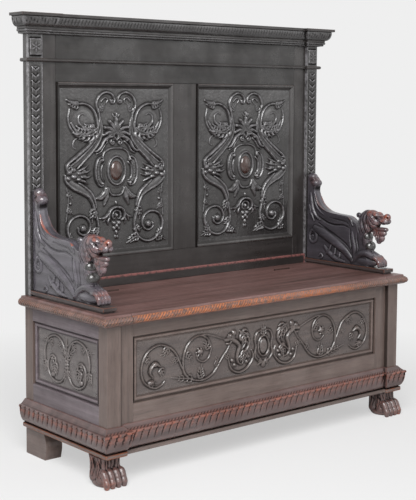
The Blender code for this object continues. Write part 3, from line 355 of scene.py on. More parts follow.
def age(obj, span, rub_and_highlight=0.0, crest_wear_and_highlight=0.6, broad_shade=0.45, extra_shade=0.0):
    """Marks hollows (dirt, painted shade) and crests (wear, painted highlight) from bends nearby and further
    off.
    """
    mesh = obj.data
    points = coordinates(mesh)
    pairs = np.empty(len(mesh.edges) * 2, int)
    mesh.edges.foreach_get("vertices", pairs)
    first, second = pairs.reshape(-1, 2).T
    count = np.maximum(np.bincount(np.concatenate([first, second]), minlength=len(points)), 1)
    facing = coordinates(mesh, "normal")
    mean = points
    bends = []
    for rounds in AGE_ROUNDS:
        for _ in range(rounds):
            sums = [np.bincount(first, mean[second, k], len(points))
                    + np.bincount(second, mean[first, k], len(points)) for k in range(3)]
            mean = 0.5 * mean + 0.5 * np.stack(sums, axis=1) / count[:, None]
        bends.append(np.einsum("ij,ij->i", mean - points, facing) / span)
    # Hollows and the ground round high relief: dirt and painted shade; crests: wear and painted highlight
    near, wide = bends
    mark(mesh, "cavity", np.clip(np.maximum(near, broad_shade * wide) + extra_shade, 0, 1))
    mark(mesh, "wear", np.clip(np.clip(-near, 0, 1) * crest_wear_and_highlight + rub_and_highlight, 0, 1))


def dress(obj, name, wood, body, replaced=None):
    """Names a finished piece, paints it and ties it to its body and to the CAD node it stands for."""
    obj.name = name
    obj.data.name = name
    obj.data.materials.clear()
    obj.data.materials.append(wood)
    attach(obj, body)
    if replaced:
        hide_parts(replaced)


# Edges of boards, mouldings and sculpted masses that turn by more than this stay sharp, in degrees
BOARD_SHARP = 60
MOULDING_SHARP = 50
MASS_SHARP = 180


def smooth_shade(obj, angle):
    """Shades a piece smooth, apart from edges that turn by more than an angle in degrees."""
    select(obj)
    bpy.ops.object.shade_smooth_by_angle(angle=math.radians(angle))


def carved_board(node, heights, right, border, thick):
    """A board in a CAD board's place with its face carved, and how far its points stand above the ground.

    A flat border lies in the frame around it.
    """
    low, high = (Vector(corner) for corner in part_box(node))
    out = right.cross(UP)
    size = high - low
    wide = abs(size.dot(right)) - 2 * border
    tall = size.z - 2 * border
    rows, columns = heights.shape
    obj = primitive("grid", x_subdivisions=columns - 1, y_subdivisions=rows - 1, size=1)
    points = coordinates(obj.data) * (wide, tall, 0)
    points[:, 2] = heights[::-1].ravel()
    place_points(obj.data, points)
    shape = bmesh.new()
    shape.from_mesh(obj.data)
    rim = [edge for edge in shape.edges if edge.is_boundary]
    for grow, drop in (((border, 0),) if border else ()) + ((0, thick),):
        made = bmesh.ops.extrude_edge_only(shape, edges=rim)["geom"]
        rim = [item for item in made if isinstance(item, bmesh.types.BMEdge) and item.is_boundary]
        for item in made:
            if isinstance(item, bmesh.types.BMVert):
                item.co.x *= 1 + 2 * grow / wide
                item.co.y *= 1 + 2 * grow / tall
                item.co.z = -drop
    bmesh.ops.edgeloop_fill(shape, edges=rim)
    bmesh.ops.recalc_face_normals(shape, faces=shape.faces)
    shape.to_mesh(obj.data)
    shape.free()
    face = (low + high) / 2 + out * (thick - abs(size.dot(out)) / 2)
    turn = Matrix((right, UP, out)).transposed().to_4x4()
    rise = coordinates(obj.data)[:, 2]
    obj.data.transform(Matrix.Translation(face) @ turn)
    smooth_shade(obj, BOARD_SHARP)
    return obj, rise


# How far apart points lie across and along a moulding, and what counts as one point at its seam
PROFILE_SPACING = 1.4 * MM
RUN_SPACING = 2.2 * MM
SEAM = 2e-6


def mitre(before, after):
    """How a corner moves for each unit that a moulding stands out from the faces on both its sides."""
    return (before + after) / (1 + before @ after)


def resample(profile, spacing):
    """Adds points between a profile's corners."""
    made = []
    for start, end in zip(profile, profile[1:]):
        start, end = np.array(start), np.array(end)
        count = max(1, math.ceil(np.linalg.norm(end - start) / spacing))
        made += [start + (end - start) * i / count for i in range(count)]
    return np.array(made + [np.array(profile[-1])])


def sweep(path, profile, pattern, step=RUN_SPACING, before=None, after=None):
    """A mitred, carved moulding along a plan path.

    The profile lists (out, height) from the top of its back, round its face, to the foot of its back. The
    pattern gives how far the carving stands off it, from the distance to a run's middle and the distance
    down the profile.
    """
    line = resample(profile, PROFILE_SPACING)
    out, height = line.T
    slope = np.gradient(line, axis=0)
    normal = np.stack([-slope[:, 1], slope[:, 0]], axis=1)
    normal /= np.maximum(np.linalg.norm(normal, axis=1), 1e-9)[:, None]
    drop = np.concatenate([[0], np.cumsum(np.linalg.norm(np.diff(line, axis=0), axis=1))])
    knots = [np.array(point, float) for point in path]
    faces = []
    for start, end in zip(knots, knots[1:]):
        run = (end - start) / np.linalg.norm(end - start)
        faces.append(np.array((run[1], -run[0])))
    ahead = faces[0] if before is None else np.array(before, float)
    behind = faces[-1] if after is None else np.array(after, float)
    faces = [ahead, *faces, behind]
    sections = []
    for i, (start, end) in enumerate(zip(knots, knots[1:])):
        ahead, face, behind = faces[i:i + 3]
        length = np.linalg.norm(end - start)
        along = (end - start) / length
        first = out * (mitre(ahead, face) @ along)
        last = length + out * (mitre(face, behind) @ along)
        share = np.linspace(0, 1, max(3, round(length / step)))[:, None]
        distance = first + share * (last - first)
        stand = pattern(distance - length / 2, drop)
        stand = stand * np.clip(np.minimum(distance - first, last - distance) / MM, 0, 1)
        flat = start + along * distance[..., None] + face * (out + stand * normal[:, 0])[..., None]
        sections.append(np.dstack([flat, height + stand * normal[:, 1]]))
    points = np.concatenate(sections)
    points = np.concatenate([points, points[:, :1]], axis=1)
    obj = primitive("grid", x_subdivisions=points.shape[1] - 1, y_subdivisions=points.shape[0] - 1, size=1)
    place_points(obj.data, points.reshape(-1, 3))
    shape = bmesh.new()
    shape.from_mesh(obj.data)
    bmesh.ops.remove_doubles(shape, verts=shape.verts, dist=SEAM)
    bmesh.ops.holes_fill(shape, edges=[edge for edge in shape.edges if edge.is_boundary])
    bmesh.ops.recalc_face_normals(shape, faces=shape.faces)
    shape.to_mesh(obj.data)
    shape.free()
    smooth_shade(obj, MOULDING_SHARP)
    return obj


def lump(centre, radii, tilt=0.0):
    """An egg of a sculpted mass, in millimetres as (x, forward, up), tipped in its side view."""
    obj = primitive("ico_sphere", subdivisions=4, radius=1)
    spread = Matrix.Rotation(math.radians(-tilt), 4, "X") @ Matrix.Diagonal((*radii, 1))
    flip = Matrix.Diagonal((1, -1, 1, 1))
    obj.data.transform(Matrix.Scale(MM, 4) @ flip @ Matrix.Translation(centre) @ spread)
    obj.data.flip_normals()
    return obj


def limb(points, radii):
    """A row of balls along a smooth line, close enough to fuse."""
    path = smooth_path(points, MASS_SPACING)
    return [lump(point, (radius,) * 3) for point, radius in zip(path, spaced(radii, len(path)))]


def sawn_board(outline, thick):
    """A board sawn to a smooth outline of (forward, up) points in millimetres, centred on x."""
    line = smooth_path(outline + outline[:1], OUTLINE_SPACING)[:-1]
    obj = primitive("circle", vertices=len(line), radius=1, fill_type="NGON")
    place_points(obj.data, np.stack([np.full(len(line), -thick / 2), -line[:, 0], line[:, 1]], axis=1) * MM)
    bpy.ops.object.mode_set(mode="EDIT")
    bpy.ops.mesh.select_all(action="SELECT")
    bpy.ops.mesh.extrude_region_move(TRANSFORM_OT_translate={"value": (thick * MM, 0, 0)})
    bpy.ops.mesh.select_all(action="SELECT")
    bpy.ops.mesh.normals_make_consistent(inside=False)
    bpy.ops.object.mode_set(mode="OBJECT")
    return obj


VOXEL = 1.7 * MM


def fuse(pieces):
    """Joins overlapping masses into one skin and rounds it."""
    select(*pieces)
    bpy.ops.object.join()
    obj = pieces[0]
    skin = obj.modifiers.new("skin", "REMESH")
    skin.mode = "VOXEL"
    skin.voxel_size = VOXEL
    bpy.ops.object.modifier_apply(modifier=skin.name)
    rounding = obj.modifiers.new("rounding", "SMOOTH")
    rounding.factor = 0.5
    rounding.iterations = 2
    bpy.ops.object.modifier_apply(modifier=rounding.name)
    return obj


def chase(obj, strokes, axes, push):
    """Raises ribs and cuts grooves on a mass, seen along one axis. Strokes are in millimetres.

    Each stroke is (points, widths, heights), and a height below zero cuts.
    """
    mesh = obj.data
    points = coordinates(mesh)
    facing = coordinates(mesh, "normal")[:, push]
    flat = points[:, axes] * (1000 if axes[0] == 0 else -1000, 1000)
    raised = np.zeros(len(points))
    sunk = np.zeros(len(points))
    for line, wide, high in strokes:
        path = smooth_path(line, MASS_SPACING)
        wide = spaced(wide, len(path))
        high = spaced(high, len(path))
        reach = wide.max()
        inside = np.all((flat > path.min(axis=0) - reach) & (flat < path.max(axis=0) + reach), axis=1)
        spot = flat[inside]
        best = np.zeros(len(spot))
        for i in range(len(path) - 1):
            pair = slice(i, i + 2)
            best = np.maximum(best, np.abs(rib(*spot.T, path[pair], wide[pair], high[pair], MASS_BLUFF)))
        if high.max() > 0:
            raised[inside] = np.maximum(raised[inside], best)
        else:
            sunk[inside] = np.maximum(sunk[inside], best)
    points[:, push] += facing * np.clip(np.abs(facing) * 1.5, 0, 1) * (raised - sunk) * MM
    place_points(mesh, points)


def set_in_place(obj, place):
    """Moves a mass to its place, in its mesh."""
    obj.data.transform(Matrix.Translation(place))
    smooth_shade(obj, MASS_SHARP)
    return obj


def mirrored(obj):
    """A copy of a left piece for the right side."""
    twin = obj.copy()
    twin.data = obj.data.copy()
    bpy.context.collection.objects.link(twin)
    twin.data.transform(Matrix.Diagonal((-1, 1, 1, 1)))
    twin.data.flip_normals()
    return twin


# Carved panels

PANEL_BORDER = 27 * MM
BACK_PANEL_THICK = 8 * MM
CHEST_PANEL_THICK = 10 * MM
CABOCHON_DROP = 274 * MM
# Ribs on the chest are cut finer and lower than those on the back
BACK_SLENDER = 0.8
CHEST_SLENDER = 0.55
CHEST_DEPTH = 0.8
# Grid steps of the carved faces, in mm
BACK_STEP = 1.65
FRONT_STEP = 1.4
FINE_STEP = 1.3
# Carving that stands this high gets the full painted highlight of the back panels' relief
FULL_HIGHLIGHT_RISE = 11 * MM
PILASTER_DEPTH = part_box("pilaster_left")[1][1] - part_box("pilaster_left")[0][1]


def field_size(node, right):
    """Width and height in millimetres of the part of a panel that its moulding leaves open."""
    low, high = (Vector(corner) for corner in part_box(node))
    size = high - low
    return 1000 * (abs(size.dot(right)) - 2 * PANEL_BORDER), 1000 * (size.z - 2 * PANEL_BORDER)


def back_panel_design():
    """A cabochon in a strapwork cartouche, lyre stems that end in volutes, leaves and a pendant."""
    wide, tall = field_size("back_panel_left", Vector((1, 0, 0)))
    face = Relief(wide, tall, BACK_STEP, BACK_SLENDER)
    crest_and_lyre(face)
    rosette(face)
    palmette(face)
    cartouche(face)
    pendant(face)
    volutes(face)
    return face.surface()


def crest_and_lyre(face):
    """The twin scrolls at the top and the fluted stems that flare out below them."""
    face.stroke([(72, 78), (80, 50), (68, 25), (44, 12), (20, 17), (7, 33), (10, 46), (20, 46), (22, 37)],
                (4, 5, 5, 4.5, 3), 7)
    face.boss((16, 40), (5, 5), 6)
    face.stroke([(60, 42), (46, 30), (34, 36), (39, 47)], (3, 3, 2), 5)
    face.leaf([(64, 74), (55, 58), (45, 50)], 9, 4.5, 3)
    face.stroke([(72, 66), (67, 95), (72, 125), (84, 158), (112, 188), (155, 220), (190, 243), (199, 256),
                 (192, 270), (180, 266)], (4, 4, 5, 6, 8, 8, 7, 5, 4), (6, 6, 7, 8, 10, 10, 10, 9, 7))
    face.stroke([(66, 98), (63, 132), (74, 166), (100, 197), (140, 231), (172, 254)], (6, 9, 13, 16, 17, 13),
                (3, 4, 5, 6, 5), 0.3)
    for flute in ([(66, 92), (64, 130), (75, 161), (102, 191), (144, 226), (180, 251)],
                  [(60, 105), (56, 138), (65, 169), (90, 201), (128, 236), (156, 262)]):
        face.stroke(flute, (3, 4, 5, 6, 6, 4), (4, 6, 8, 9, 8))


def rosette(face):
    """The round scroll with a curled leaf lying in its lower half."""
    face.stroke([(76, 140), (76, 112), (86, 80), (106, 59), (131, 50), (158, 51), (180, 45), (196, 37)],
                (4, 5, 5, 5, 5, 5, 4, 2), (7, 8, 8, 8, 8, 7))
    face.leaf([(150, 56), (172, 52), (197, 38)], 13, 8, 4)
    face.stroke([(184, 66), (191, 98), (181, 130), (158, 150), (130, 157), (103, 151), (86, 134)],
                (2, 4, 4, 5, 5, 4), (5, 6, 7, 8, 8))
    face.boss((133, 112), (46, 44), 3, 0.4)
    face.leaf([(80, 134), (102, 148), (132, 150), (160, 138), (180, 112)], 26, 12, 6)
    face.leaf([(86, 132), (106, 132), (128, 126), (146, 112)], 16, 11, 4)
    for centre, radii, high in (((86, 140), (13, 11), 12), ((108, 153), (13, 8), 13),
                                ((158, 149), (12, 8), 12)):
        face.boss(centre, radii, high)
    face.stroke([(132, 130), (150, 112), (150, 92), (136, 82), (122, 88)], (5, 5, 4, 3, 2), (9, 8, 6, 5))
    face.stroke([(150, 158), (168, 172), (172, 190), (160, 198)], (2.5, 2.5, 1.5), 4)
    face.leaf([(110, 160), (128, 170), (150, 172)], 9, 5, 3)


def palmette(face):
    """A fan of petals with a bud above it, and two small curls under it."""
    for angle, length, curl in ((0, 56, 0), (22, 56, 6), (45, 54, 12), (68, 50, 15), (90, 42, 14)):
        turn = math.radians(angle)
        ray = np.array((math.sin(turn), -math.cos(turn)))
        side = np.array((math.cos(turn), math.sin(turn)))
        foot = np.array((0, 158))
        tip = foot + length * ray + curl * side
        face.stroke([foot + 8 * ray, foot + 0.6 * length * ray - 2 * side, tip], (3, 8, 7), (5, 9, 10))
        face.boss(tip, (6, 6), 11)
        face.stroke([foot + 14 * ray, foot + 0.6 * length * ray - 2 * side, tip - 6 * ray], 1.5, 3, cut=True)
    face.boss((0, 86), (5, 10), 9)
    face.stroke([(0, 96), (9, 92), (14, 84)], (2, 3, 2), 5)
    face.stroke(spiral((14, 178), 11, -120, 1.2, 3), (3, 3, 2.5), 7)
    face.boss((14, 178), (4, 4), 7)
    face.stroke([(96, 208), (80, 206), (66, 195), (52, 173), (36, 162), (16, 160), (4, 166), (0, 174)],
                (3, 6, 7.5, 7.5, 7, 5, 3), (6, 10, 12, 12, 11, 9))
    face.stroke([(78, 216), (62, 207), (48, 188), (34, 176)], (2, 4, 4, 2), 7)


def cartouche(face):
    """The cabochon in its ring, with curled straps on both sides and an arch above."""
    face.stroke([(0, 198), (26, 200), (46, 211), (54, 226)], (3.5, 4, 3), 5)
    face.boss((0, 274), (46, 58), 3, 0.3)
    face.ring((0, 273), (35, 47), 4.5, 9)
    face.stroke([(60, 238), (72, 250), (75, 276), (70, 302), (60, 312)], (8, 11, 12, 11, 8), 4.5, 0.25)
    face.stroke([(52, 240), (55, 229), (66, 228), (78, 240), (85, 266), (83, 296), (72, 318), (58, 324),
                 (51, 314)], (3, 4, 4, 4, 4.5, 4.5, 4, 4, 3), (8, 9, 9, 10, 10, 10, 9, 8))
    face.stroke([(50, 246), (60, 258), (63, 277), (60, 296), (50, 308)], (2, 3, 3.5, 3, 2), 8)
    for drop in range(248, 308, 9):
        face.boss((73, drop), (2.6, 2.8), 7)
    for centre in ((57, 237), (57, 315)):
        face.boss(centre, (6, 6), 11)


def pendant(face):
    """Drapery under the cartouche, and a hooded cluster of fruit that hangs from it."""
    face.stroke([(38, 330), (47, 348), (62, 361), (82, 364)], (6, 14, 13, 5), (6, 10, 9, 5))
    face.stroke([(34, 334), (40, 360), (50, 388)], (5, 13, 4), (5, 9, 5))
    face.stroke([(42, 334), (52, 352), (68, 362)], 1.5, 3, cut=True)
    face.stroke([(0, 357), (16, 355), (27, 345), (32, 330)], (3.5, 4, 4, 3), 7)
    face.boss((0, 383), (4, 8), 6)
    face.stroke([(0, 396), (18, 400), (30, 412), (31, 430), (22, 442)], (5, 6, 6, 5, 3), (10, 12, 12, 10, 6))
    face.stroke([(0, 408), (12, 412), (17, 424), (12, 436), (4, 434)], (3, 4, 4, 3, 2), (6, 8, 8, 6))
    for line in ([(30, 414), (44, 428), (52, 444)], [(32, 420), (50, 430), (68, 432)],
                 [(30, 428), (36, 442), (34, 454)]):
        face.stroke(line, (4, 6.5, 2), (8, 10, 5))
    for centre, radii, high in (((0, 424), (6, 8), 9), ((10, 450), (8, 8), 9), ((0, 460), (7, 9), 9),
                                ((9, 468), (6, 8), 7), ((0, 482), (6, 9), 7), ((4, 497), (4, 7), 5)):
        face.boss(centre, radii, high, 0.7)


def volutes(face):
    """The side leaf clusters and the S stems that run down to the bottom volutes."""
    face.stroke(spiral((186, 263), 14, -80, 1.3, 4), (5, 4, 3), (9, 8))
    face.boss((160, 284), (42, 20), 5)
    for boss in (((188, 274), (11, 9), 12), ((193, 293), (10, 9), 12), ((170, 266), (10, 8), 10),
                 ((170, 288), (11, 8), 12), ((150, 278), (10, 7), 9), ((151, 298), (10, 7), 11),
                 ((131, 270), (9, 6), 8), ((130, 289), (9, 7), 9)):
        face.boss(*boss)
    for line in ([(148, 268), (128, 260), (112, 250)], [(140, 276), (120, 274), (104, 268)],
                 [(140, 290), (120, 292), (102, 288)], [(146, 300), (128, 306), (114, 314)]):
        face.stroke(line, (5, 6, 2), (9, 8, 4))
    face.stroke([(204, 282), (200, 304), (174, 326), (140, 341), (112, 357), (96, 381), (87, 406), (79, 432),
                 (74, 462), (84, 492), (106, 513), (136, 520), (168, 509), (190, 484), (195, 455), (183, 431),
                 (160, 419), (134, 420), (114, 434), (107, 456), (117, 476), (136, 482), (152, 472),
                 (153, 458)],
                (4, 7, 8, 8, 7, 6, 5, 5, 5, 6, 6, 6, 5, 5, 4.5, 4, 3.5), (8, 9, 9, 8, 8, 8, 9, 9, 8))
    face.stroke([(188, 304), (160, 322), (128, 338), (104, 356), (91, 384)], (12, 15, 15, 12, 6),
                (5, 6, 6, 6, 4), 0.3)
    face.stroke([(148, 310), (122, 328), (101, 347), (88, 372), (82, 396)], (3, 6, 7, 6, 3),
                (7, 10, 10, 9, 7))
    face.boss((135, 460), (12, 12), 12)
    face.stroke([(197, 326), (190, 360), (195, 400), (200, 436)], 2.2, 4)
    face.boss((182, 376), (5, 5), 5)
    for leaf in (
            ([(86, 402), (96, 420), (98, 444)], 15, 9, 3), ([(76, 466), (92, 478), (108, 474)], 13, 9, 3),
            ([(92, 502), (70, 506), (44, 522)], 15, 9, 4), ([(166, 511), (188, 512), (210, 521)], 13, 8, 3),
            ([(176, 502), (186, 488), (182, 472)], 11, 8, 3), ([(194, 344), (182, 352), (174, 366)], 8, 5, 3),
            ([(195, 396), (184, 402), (172, 412)], 9, 6, 3)):
        face.leaf(*leaf)


def front_panel_design():
    """Two mirrored runs of leaf scrolls that start from winged serpents beside an oval cartouche."""
    wide, tall = field_size("front_panel", Vector((1, 0, 0)))
    face = Relief(wide, tall, FRONT_STEP, CHEST_SLENDER)
    face.ring((0, 82), (24, 34), 4.5, 8)
    face.stroke([(6, 28), (28, 34), (38, 54), (34, 82), (39, 108), (26, 126), (8, 132)],
                (3, 5, 5, 4, 5, 5, 3), 8)
    serpent(face)
    face.stroke([(140, 48), (158, 74), (180, 98), (200, 124), (222, 144), (258, 156), (298, 150), (330, 130),
                 (339, 96), (334, 60), (314, 29), (278, 13), (242, 25), (226, 55), (234, 86), (258, 98),
                 (279, 88), (284, 72)], (3, 4, 5, 5, 5, 5, 4.5, 4, 4, 3.5, 3), (6, 7, 7, 7, 6))
    face.stroke([(280, 13), (244, 14), (208, 24), (176, 36), (158, 42)], (3, 4, 3.5, 2), 5)
    face.flower((272, 66), 17, 9)
    face.stroke([(318, 144), (346, 98), (368, 56), (398, 32), (440, 22), (482, 44), (500, 86), (490, 128),
                 (453, 152), (426, 148), (410, 136)], (3, 5, 5, 5, 5, 5, 4.5, 5, 5, 3), (6, 7, 7, 7, 6))
    face.stroke([(430, 88), (446, 78), (462, 87), (468, 102), (457, 118)], (5, 11, 10, 7, 4),
                (8, 12, 11, 9, 6))
    for boss in (((0, 82), (17, 25), 10), ((0, 142), (9, 11), 8), ((13, 134), (7, 7), 7),
                 ((270, 64), (11, 9), 12), ((448, 79), (11, 8), 13), ((463, 134), (11, 8), 11)):
        face.boss(*boss)
    for leaf in (
            ([(0, 46), (0, 30), (0, 10)], 13, 8, 3), ([(8, 128), (20, 140), (16, 154)], 8, 6, 3),
            ([(262, 150), (268, 128), (262, 104)], 15, 7, 4), ([(232, 60), (244, 44), (262, 36)], 13, 7, 3),
            ([(300, 146), (336, 140), (386, 130)], 13, 7, 4), ([(206, 120), (198, 104), (206, 90)], 10, 6, 3),
            ([(326, 64), (310, 74), (298, 92)], 11, 6, 3), ([(428, 96), (420, 110), (426, 126)], 12, 7, 3),
            ([(474, 142), (456, 136), (440, 140)], 11, 8, 3), ([(398, 34), (410, 50), (428, 54)], 13, 6, 3),
            ([(486, 52), (474, 66), (476, 84)], 11, 6, 3), ([(360, 72), (378, 84), (392, 78)], 9, 5, 3)):
        face.leaf(*leaf)
    return face.surface(CHEST_DEPTH)


def serpent(face):
    """A winged serpent: head, S neck and a leaf wing, inside a curled tail."""
    for centre, radii, high in (((141, 37), (19, 13), 8), ((158, 42), (12, 7), 9), ((129, 23), (10, 10), 10),
                                ((146, 29), (8, 7), 13), ((154, 54), (10, 5), 8)):
        face.boss(centre, radii, high, 0.8)
    face.stroke([(140, 46), (152, 50), (166, 48)], 2, 6, cut=True)
    face.stroke([(140, 42), (120, 53), (107, 68), (112, 86), (117, 104), (111, 122), (96, 129), (88, 120)],
                (12, 13, 11, 9, 7, 5, 3), (9, 10, 10, 9, 7))
    face.stroke([(104, 20), (78, 32), (63, 58), (74, 82), (98, 97), (116, 112)], (4, 7, 7, 6, 4, 3),
                (7, 9, 9, 7))
    face.leaf([(100, 26), (84, 40), (80, 62), (92, 80)], 22, 9, 4)
    face.stroke([(152, 106), (141, 138), (112, 154), (78, 148), (52, 124), (46, 104), (54, 88)],
                (3, 5, 6, 6, 5, 3), (6, 8, 8, 8, 7))
    face.leaf([(78, 88), (90, 108), (92, 132)], 15, 8, 4)
    for centre in ((66, 108), (74, 124), (136, 112), (126, 128)):
        face.boss(centre, (6, 6), 8)
    face.leaf([(150, 100), (162, 92), (176, 98)], 9, 6, 3)


def end_panel_design():
    """Two leaf scrolls back to back, tied in the middle."""
    wide, tall = field_size("end_panel_left", Vector((0, 1, 0)))
    face = Relief(wide, tall, FINE_STEP, CHEST_SLENDER)
    face.stroke([(5, 88), (9, 52), (30, 20), (64, 9), (104, 24), (124, 62), (121, 98), (112, 118)],
                (3.5, 5, 5, 5, 5, 4, 3), (6, 7, 7, 7, 6))
    face.stroke([(5, 92), (10, 124), (32, 149), (62, 154), (92, 142), (106, 114), (99, 86), (80, 73),
                 (63, 82), (64, 98), (77, 99)], (3.5, 5, 5, 5, 5, 4, 3), (6, 7, 7, 7, 6))
    face.flower((80, 84), 14, 9)
    face.boss((78, 134), (9, 8), 9)
    for leaf in (
            ([(122, 94), (125, 118), (136, 142)], 13, 7, 4), ([(72, 96), (66, 116), (72, 140)], 17, 8, 4),
            ([(4, 72), (20, 54), (46, 38)], 11, 7, 3), ([(30, 24), (44, 34), (50, 50)], 9, 6, 3),
            ([(104, 28), (128, 34), (150, 29)], 9, 5, 3), ([(92, 24), (84, 38), (90, 52)], 10, 6, 3),
            ([(4, 108), (12, 132), (18, 154)], 11, 7, 3), ([(0, 60), (0, 34), (0, 8)], 11, 7, 3)):
        face.leaf(*leaf)
    for drop, high in ((80, 8), (90, 10), (100, 8)):
        face.boss((0, drop), (10, 5.5), high)
    return face.surface(CHEST_DEPTH)


# The pilaster's raised block and, as heights above the floor, the ends of its parts, in mm
BLOCK_PROUD = 5.0
BLOCK_TOP = 1332
SPRIG_MIDDLE = 1305
BLOCK_FOOT = 1279
SCALES_TOP = 1244
SCALES_FOOT = 850


def pilaster_design():
    """A band of overlapping leaf scales that point down, and a sprig on the raised block above it."""
    low, high = (1000 * np.array(corner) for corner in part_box("pilaster_left"))
    wide, _, tall = high - low
    top = high[2]
    face = Relief(wide, tall, FINE_STEP)
    reach, pitch, slope, block_reach = 14.0, 21.7, 0.75, 21
    scale_tip, scale_root = 4.4, 0.4
    band_top = top - SCALES_TOP
    u = np.abs(face.u)[None, :]
    t = face.t[:, None]
    share = np.mod((t + slope * (u - reach) - band_top) / pitch, 1)
    scales = scale_tip * (1 - share) ** 1.3 + scale_root
    face.high += scales * (u < reach) * (t > band_top) * (t < top - SCALES_FOOT)
    face.high += BLOCK_PROUD * (u < block_reach) * (t > top - BLOCK_TOP) * (t < top - BLOCK_FOOT)
    middle = np.array((0, top - SPRIG_MIDDLE))
    sprig = Relief(wide, tall, FINE_STEP)
    for ray in np.array(arc((0, 0), (1, 1), 30, 330, 5)):
        sprig.stroke([middle + 4 * ray, middle + 16 * ray], (2, 3.5, 2), (1, 1.6, 1))
    sprig.boss(middle, (4, 4), 1.8)
    face.high += sprig.high
    return face.surface() - BLOCK_PROUD * MM


def carve_panel(node, heights, right, thick, wood, span_mm, crest_wear_and_highlight, broad_shade, rub_and_highlight=0.0):
    """Puts a carved board in a CAD panel's place, with no wear, dirt or painted light on its edges and back.
    """
    board, rise = carved_board(node, heights, right, PANEL_BORDER, thick)
    hidden = rise < -MM
    # On the back panels the relief is painted lighter grey the higher it stands: a painted highlight
    worn = rub_and_highlight * np.clip(rise / FULL_HIGHLIGHT_RISE, 0, 1) - hidden
    age(board, span_mm * MM, worn, crest_wear_and_highlight=crest_wear_and_highlight, broad_shade=broad_shade, extra_shade=-1 * hidden)
    dress(board, "carved_" + node, wood, "carcase", node)


def cabochon(node):
    """The polished oval in the middle of a back panel, kept inside the board's thickness."""
    low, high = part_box(node)
    jewel = lump((0, 0, 0), (25, 13, 34))
    points = coordinates(jewel.data)
    points[:, 1] = np.minimum(points[:, 1], BACK_PANEL_THICK / 2)
    place_points(jewel.data, points)
    return set_in_place(jewel, ((low[0] + high[0]) / 2, high[1] - BACK_PANEL_THICK,
                                high[2] - PANEL_BORDER - CABOCHON_DROP))


def carved_panels():
    """Puts the carved boards in the place of the plain CAD ones."""
    ahead = Vector((1, 0, 0))
    back = back_panel_design()
    for word in ("left", "right"):
        node = "back_panel_" + word
        # Back panels: painted highlight on crests and high relief; dirt and painted shade in hollows
        carve_panel(node, back, ahead, BACK_PANEL_THICK, CARVED["z"], span_mm=0.7, crest_wear_and_highlight=0.5, broad_shade=0.25,
                    rub_and_highlight=0.3)
        dress(cabochon(node), "cabochon_" + word, JEWEL_WOOD, "carcase")
    # Chest panels: small painted highlights on crests; painted shade round the ribs
    carve_panel("front_panel", front_panel_design(), ahead, CHEST_PANEL_THICK, CHEST_CARVED["x"],
                span_mm=0.6, crest_wear_and_highlight=0.15, broad_shade=0.5)
    ends = end_panel_design()
    for word, right in (("left", Vector((0, -1, 0))), ("right", Vector((0, 1, 0)))):
        carve_panel("end_panel_" + word, ends, right, CHEST_PANEL_THICK, CHEST_CARVED["y"],
                    span_mm=0.6, crest_wear_and_highlight=0.25, broad_shade=0.5)
    strip = pilaster_design()
    for word in ("left", "right"):
        node = "pilaster_" + word
        board, _ = carved_board(node, strip, ahead, 0, PILASTER_DEPTH)
        # Pilasters: painted highlight on the crests of the scales
        age(board, 0.35 * MM, crest_wear_and_highlight=0.8)
        dress(board, "carved_" + node, CARVED["z"], "carcase", node)


# Mouldings

# Between carved pieces that would otherwise share a face
CLEARANCE = 0.3 * MM
SEAT_EDGE_SPACING = 1.6 * MM
# How far below its top the base is rubbed on its lobes and on its rope, and over what width, in mm
RUBBED_LOBES = (32, 7)
RUBBED_ROPE = (20, 5)


def lobe(share, narrow=1.0):
    """A round swelling across one repeat of a pattern."""
    return np.sqrt(np.clip(1 - (narrow * (2 * share - 1)) ** 2, 0, 1))


def gadroon(distance, drop):
    """Slanting lobes round the base, with a comma-shaped slit between each two."""
    pitch, top, foot = 27 * MM, 27 * MM, 74 * MM
    lobe_high, slit_wide, slit_deep = 3.0 * MM, 3.2 * MM, 6.0 * MM
    level = (drop - top) / (foot - top)
    inside = np.clip(level * 8, 0, 1) * np.clip((1 - level) * 5, 0, 1)
    share = np.mod((distance + 0.35 * (drop - top)) / pitch, 1)
    near = np.minimum(share, 1 - share) * pitch
    slit = np.clip(1 - (near / slit_wide) ** 2, 0, 1) * np.clip(1 - ((level - 0.42) / 0.36) ** 2, 0, 1)
    return inside * (lobe_high * (lobe(share) - 1) - slit_deep * slit)


def front_carving(distance, drop):
    """The front of the base: a twisted bead above shallower lobes."""
    pitch, middle, half, high = 13 * MM, 23 * MM, 6 * MM, 2.6 * MM
    share = np.mod((distance + 1.2 * drop) / pitch, 1)
    inside = np.clip(1 - np.abs((drop - middle) / half) ** 4, 0, 1)
    rope = inside * high * (lobe(share) - 0.7)
    return 0.7 * gadroon(distance, drop) + 1.2 * rope


def base_profile():
    """A sloped top, a bead and an ovolo that falls to the plinth."""
    (_, _, foot), (_, _, head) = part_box("base_moulding_front")
    slope = [(out * MM, head - drop * MM) for out, drop in ((0.4, 0), (4, 0), (7, 3.5), (14, 11), (19, 15))]
    bead = arc((21.5 * MM, head - 20.5 * MM), (5.5 * MM, 5.5 * MM), 60, -60, 8)
    top = head - 27 * MM
    ovolo = arc((5 * MM, top), (19 * MM, foot + 1 * MM - top), 0, 90, 12)
    return slope + bead + ovolo + [(5 * MM, foot), (0.4 * MM, foot)]


def flipped(line):
    """A plan line on the other side of the bench, still running the same way round it."""
    return [(-x, y) for x, y in reversed(line)]


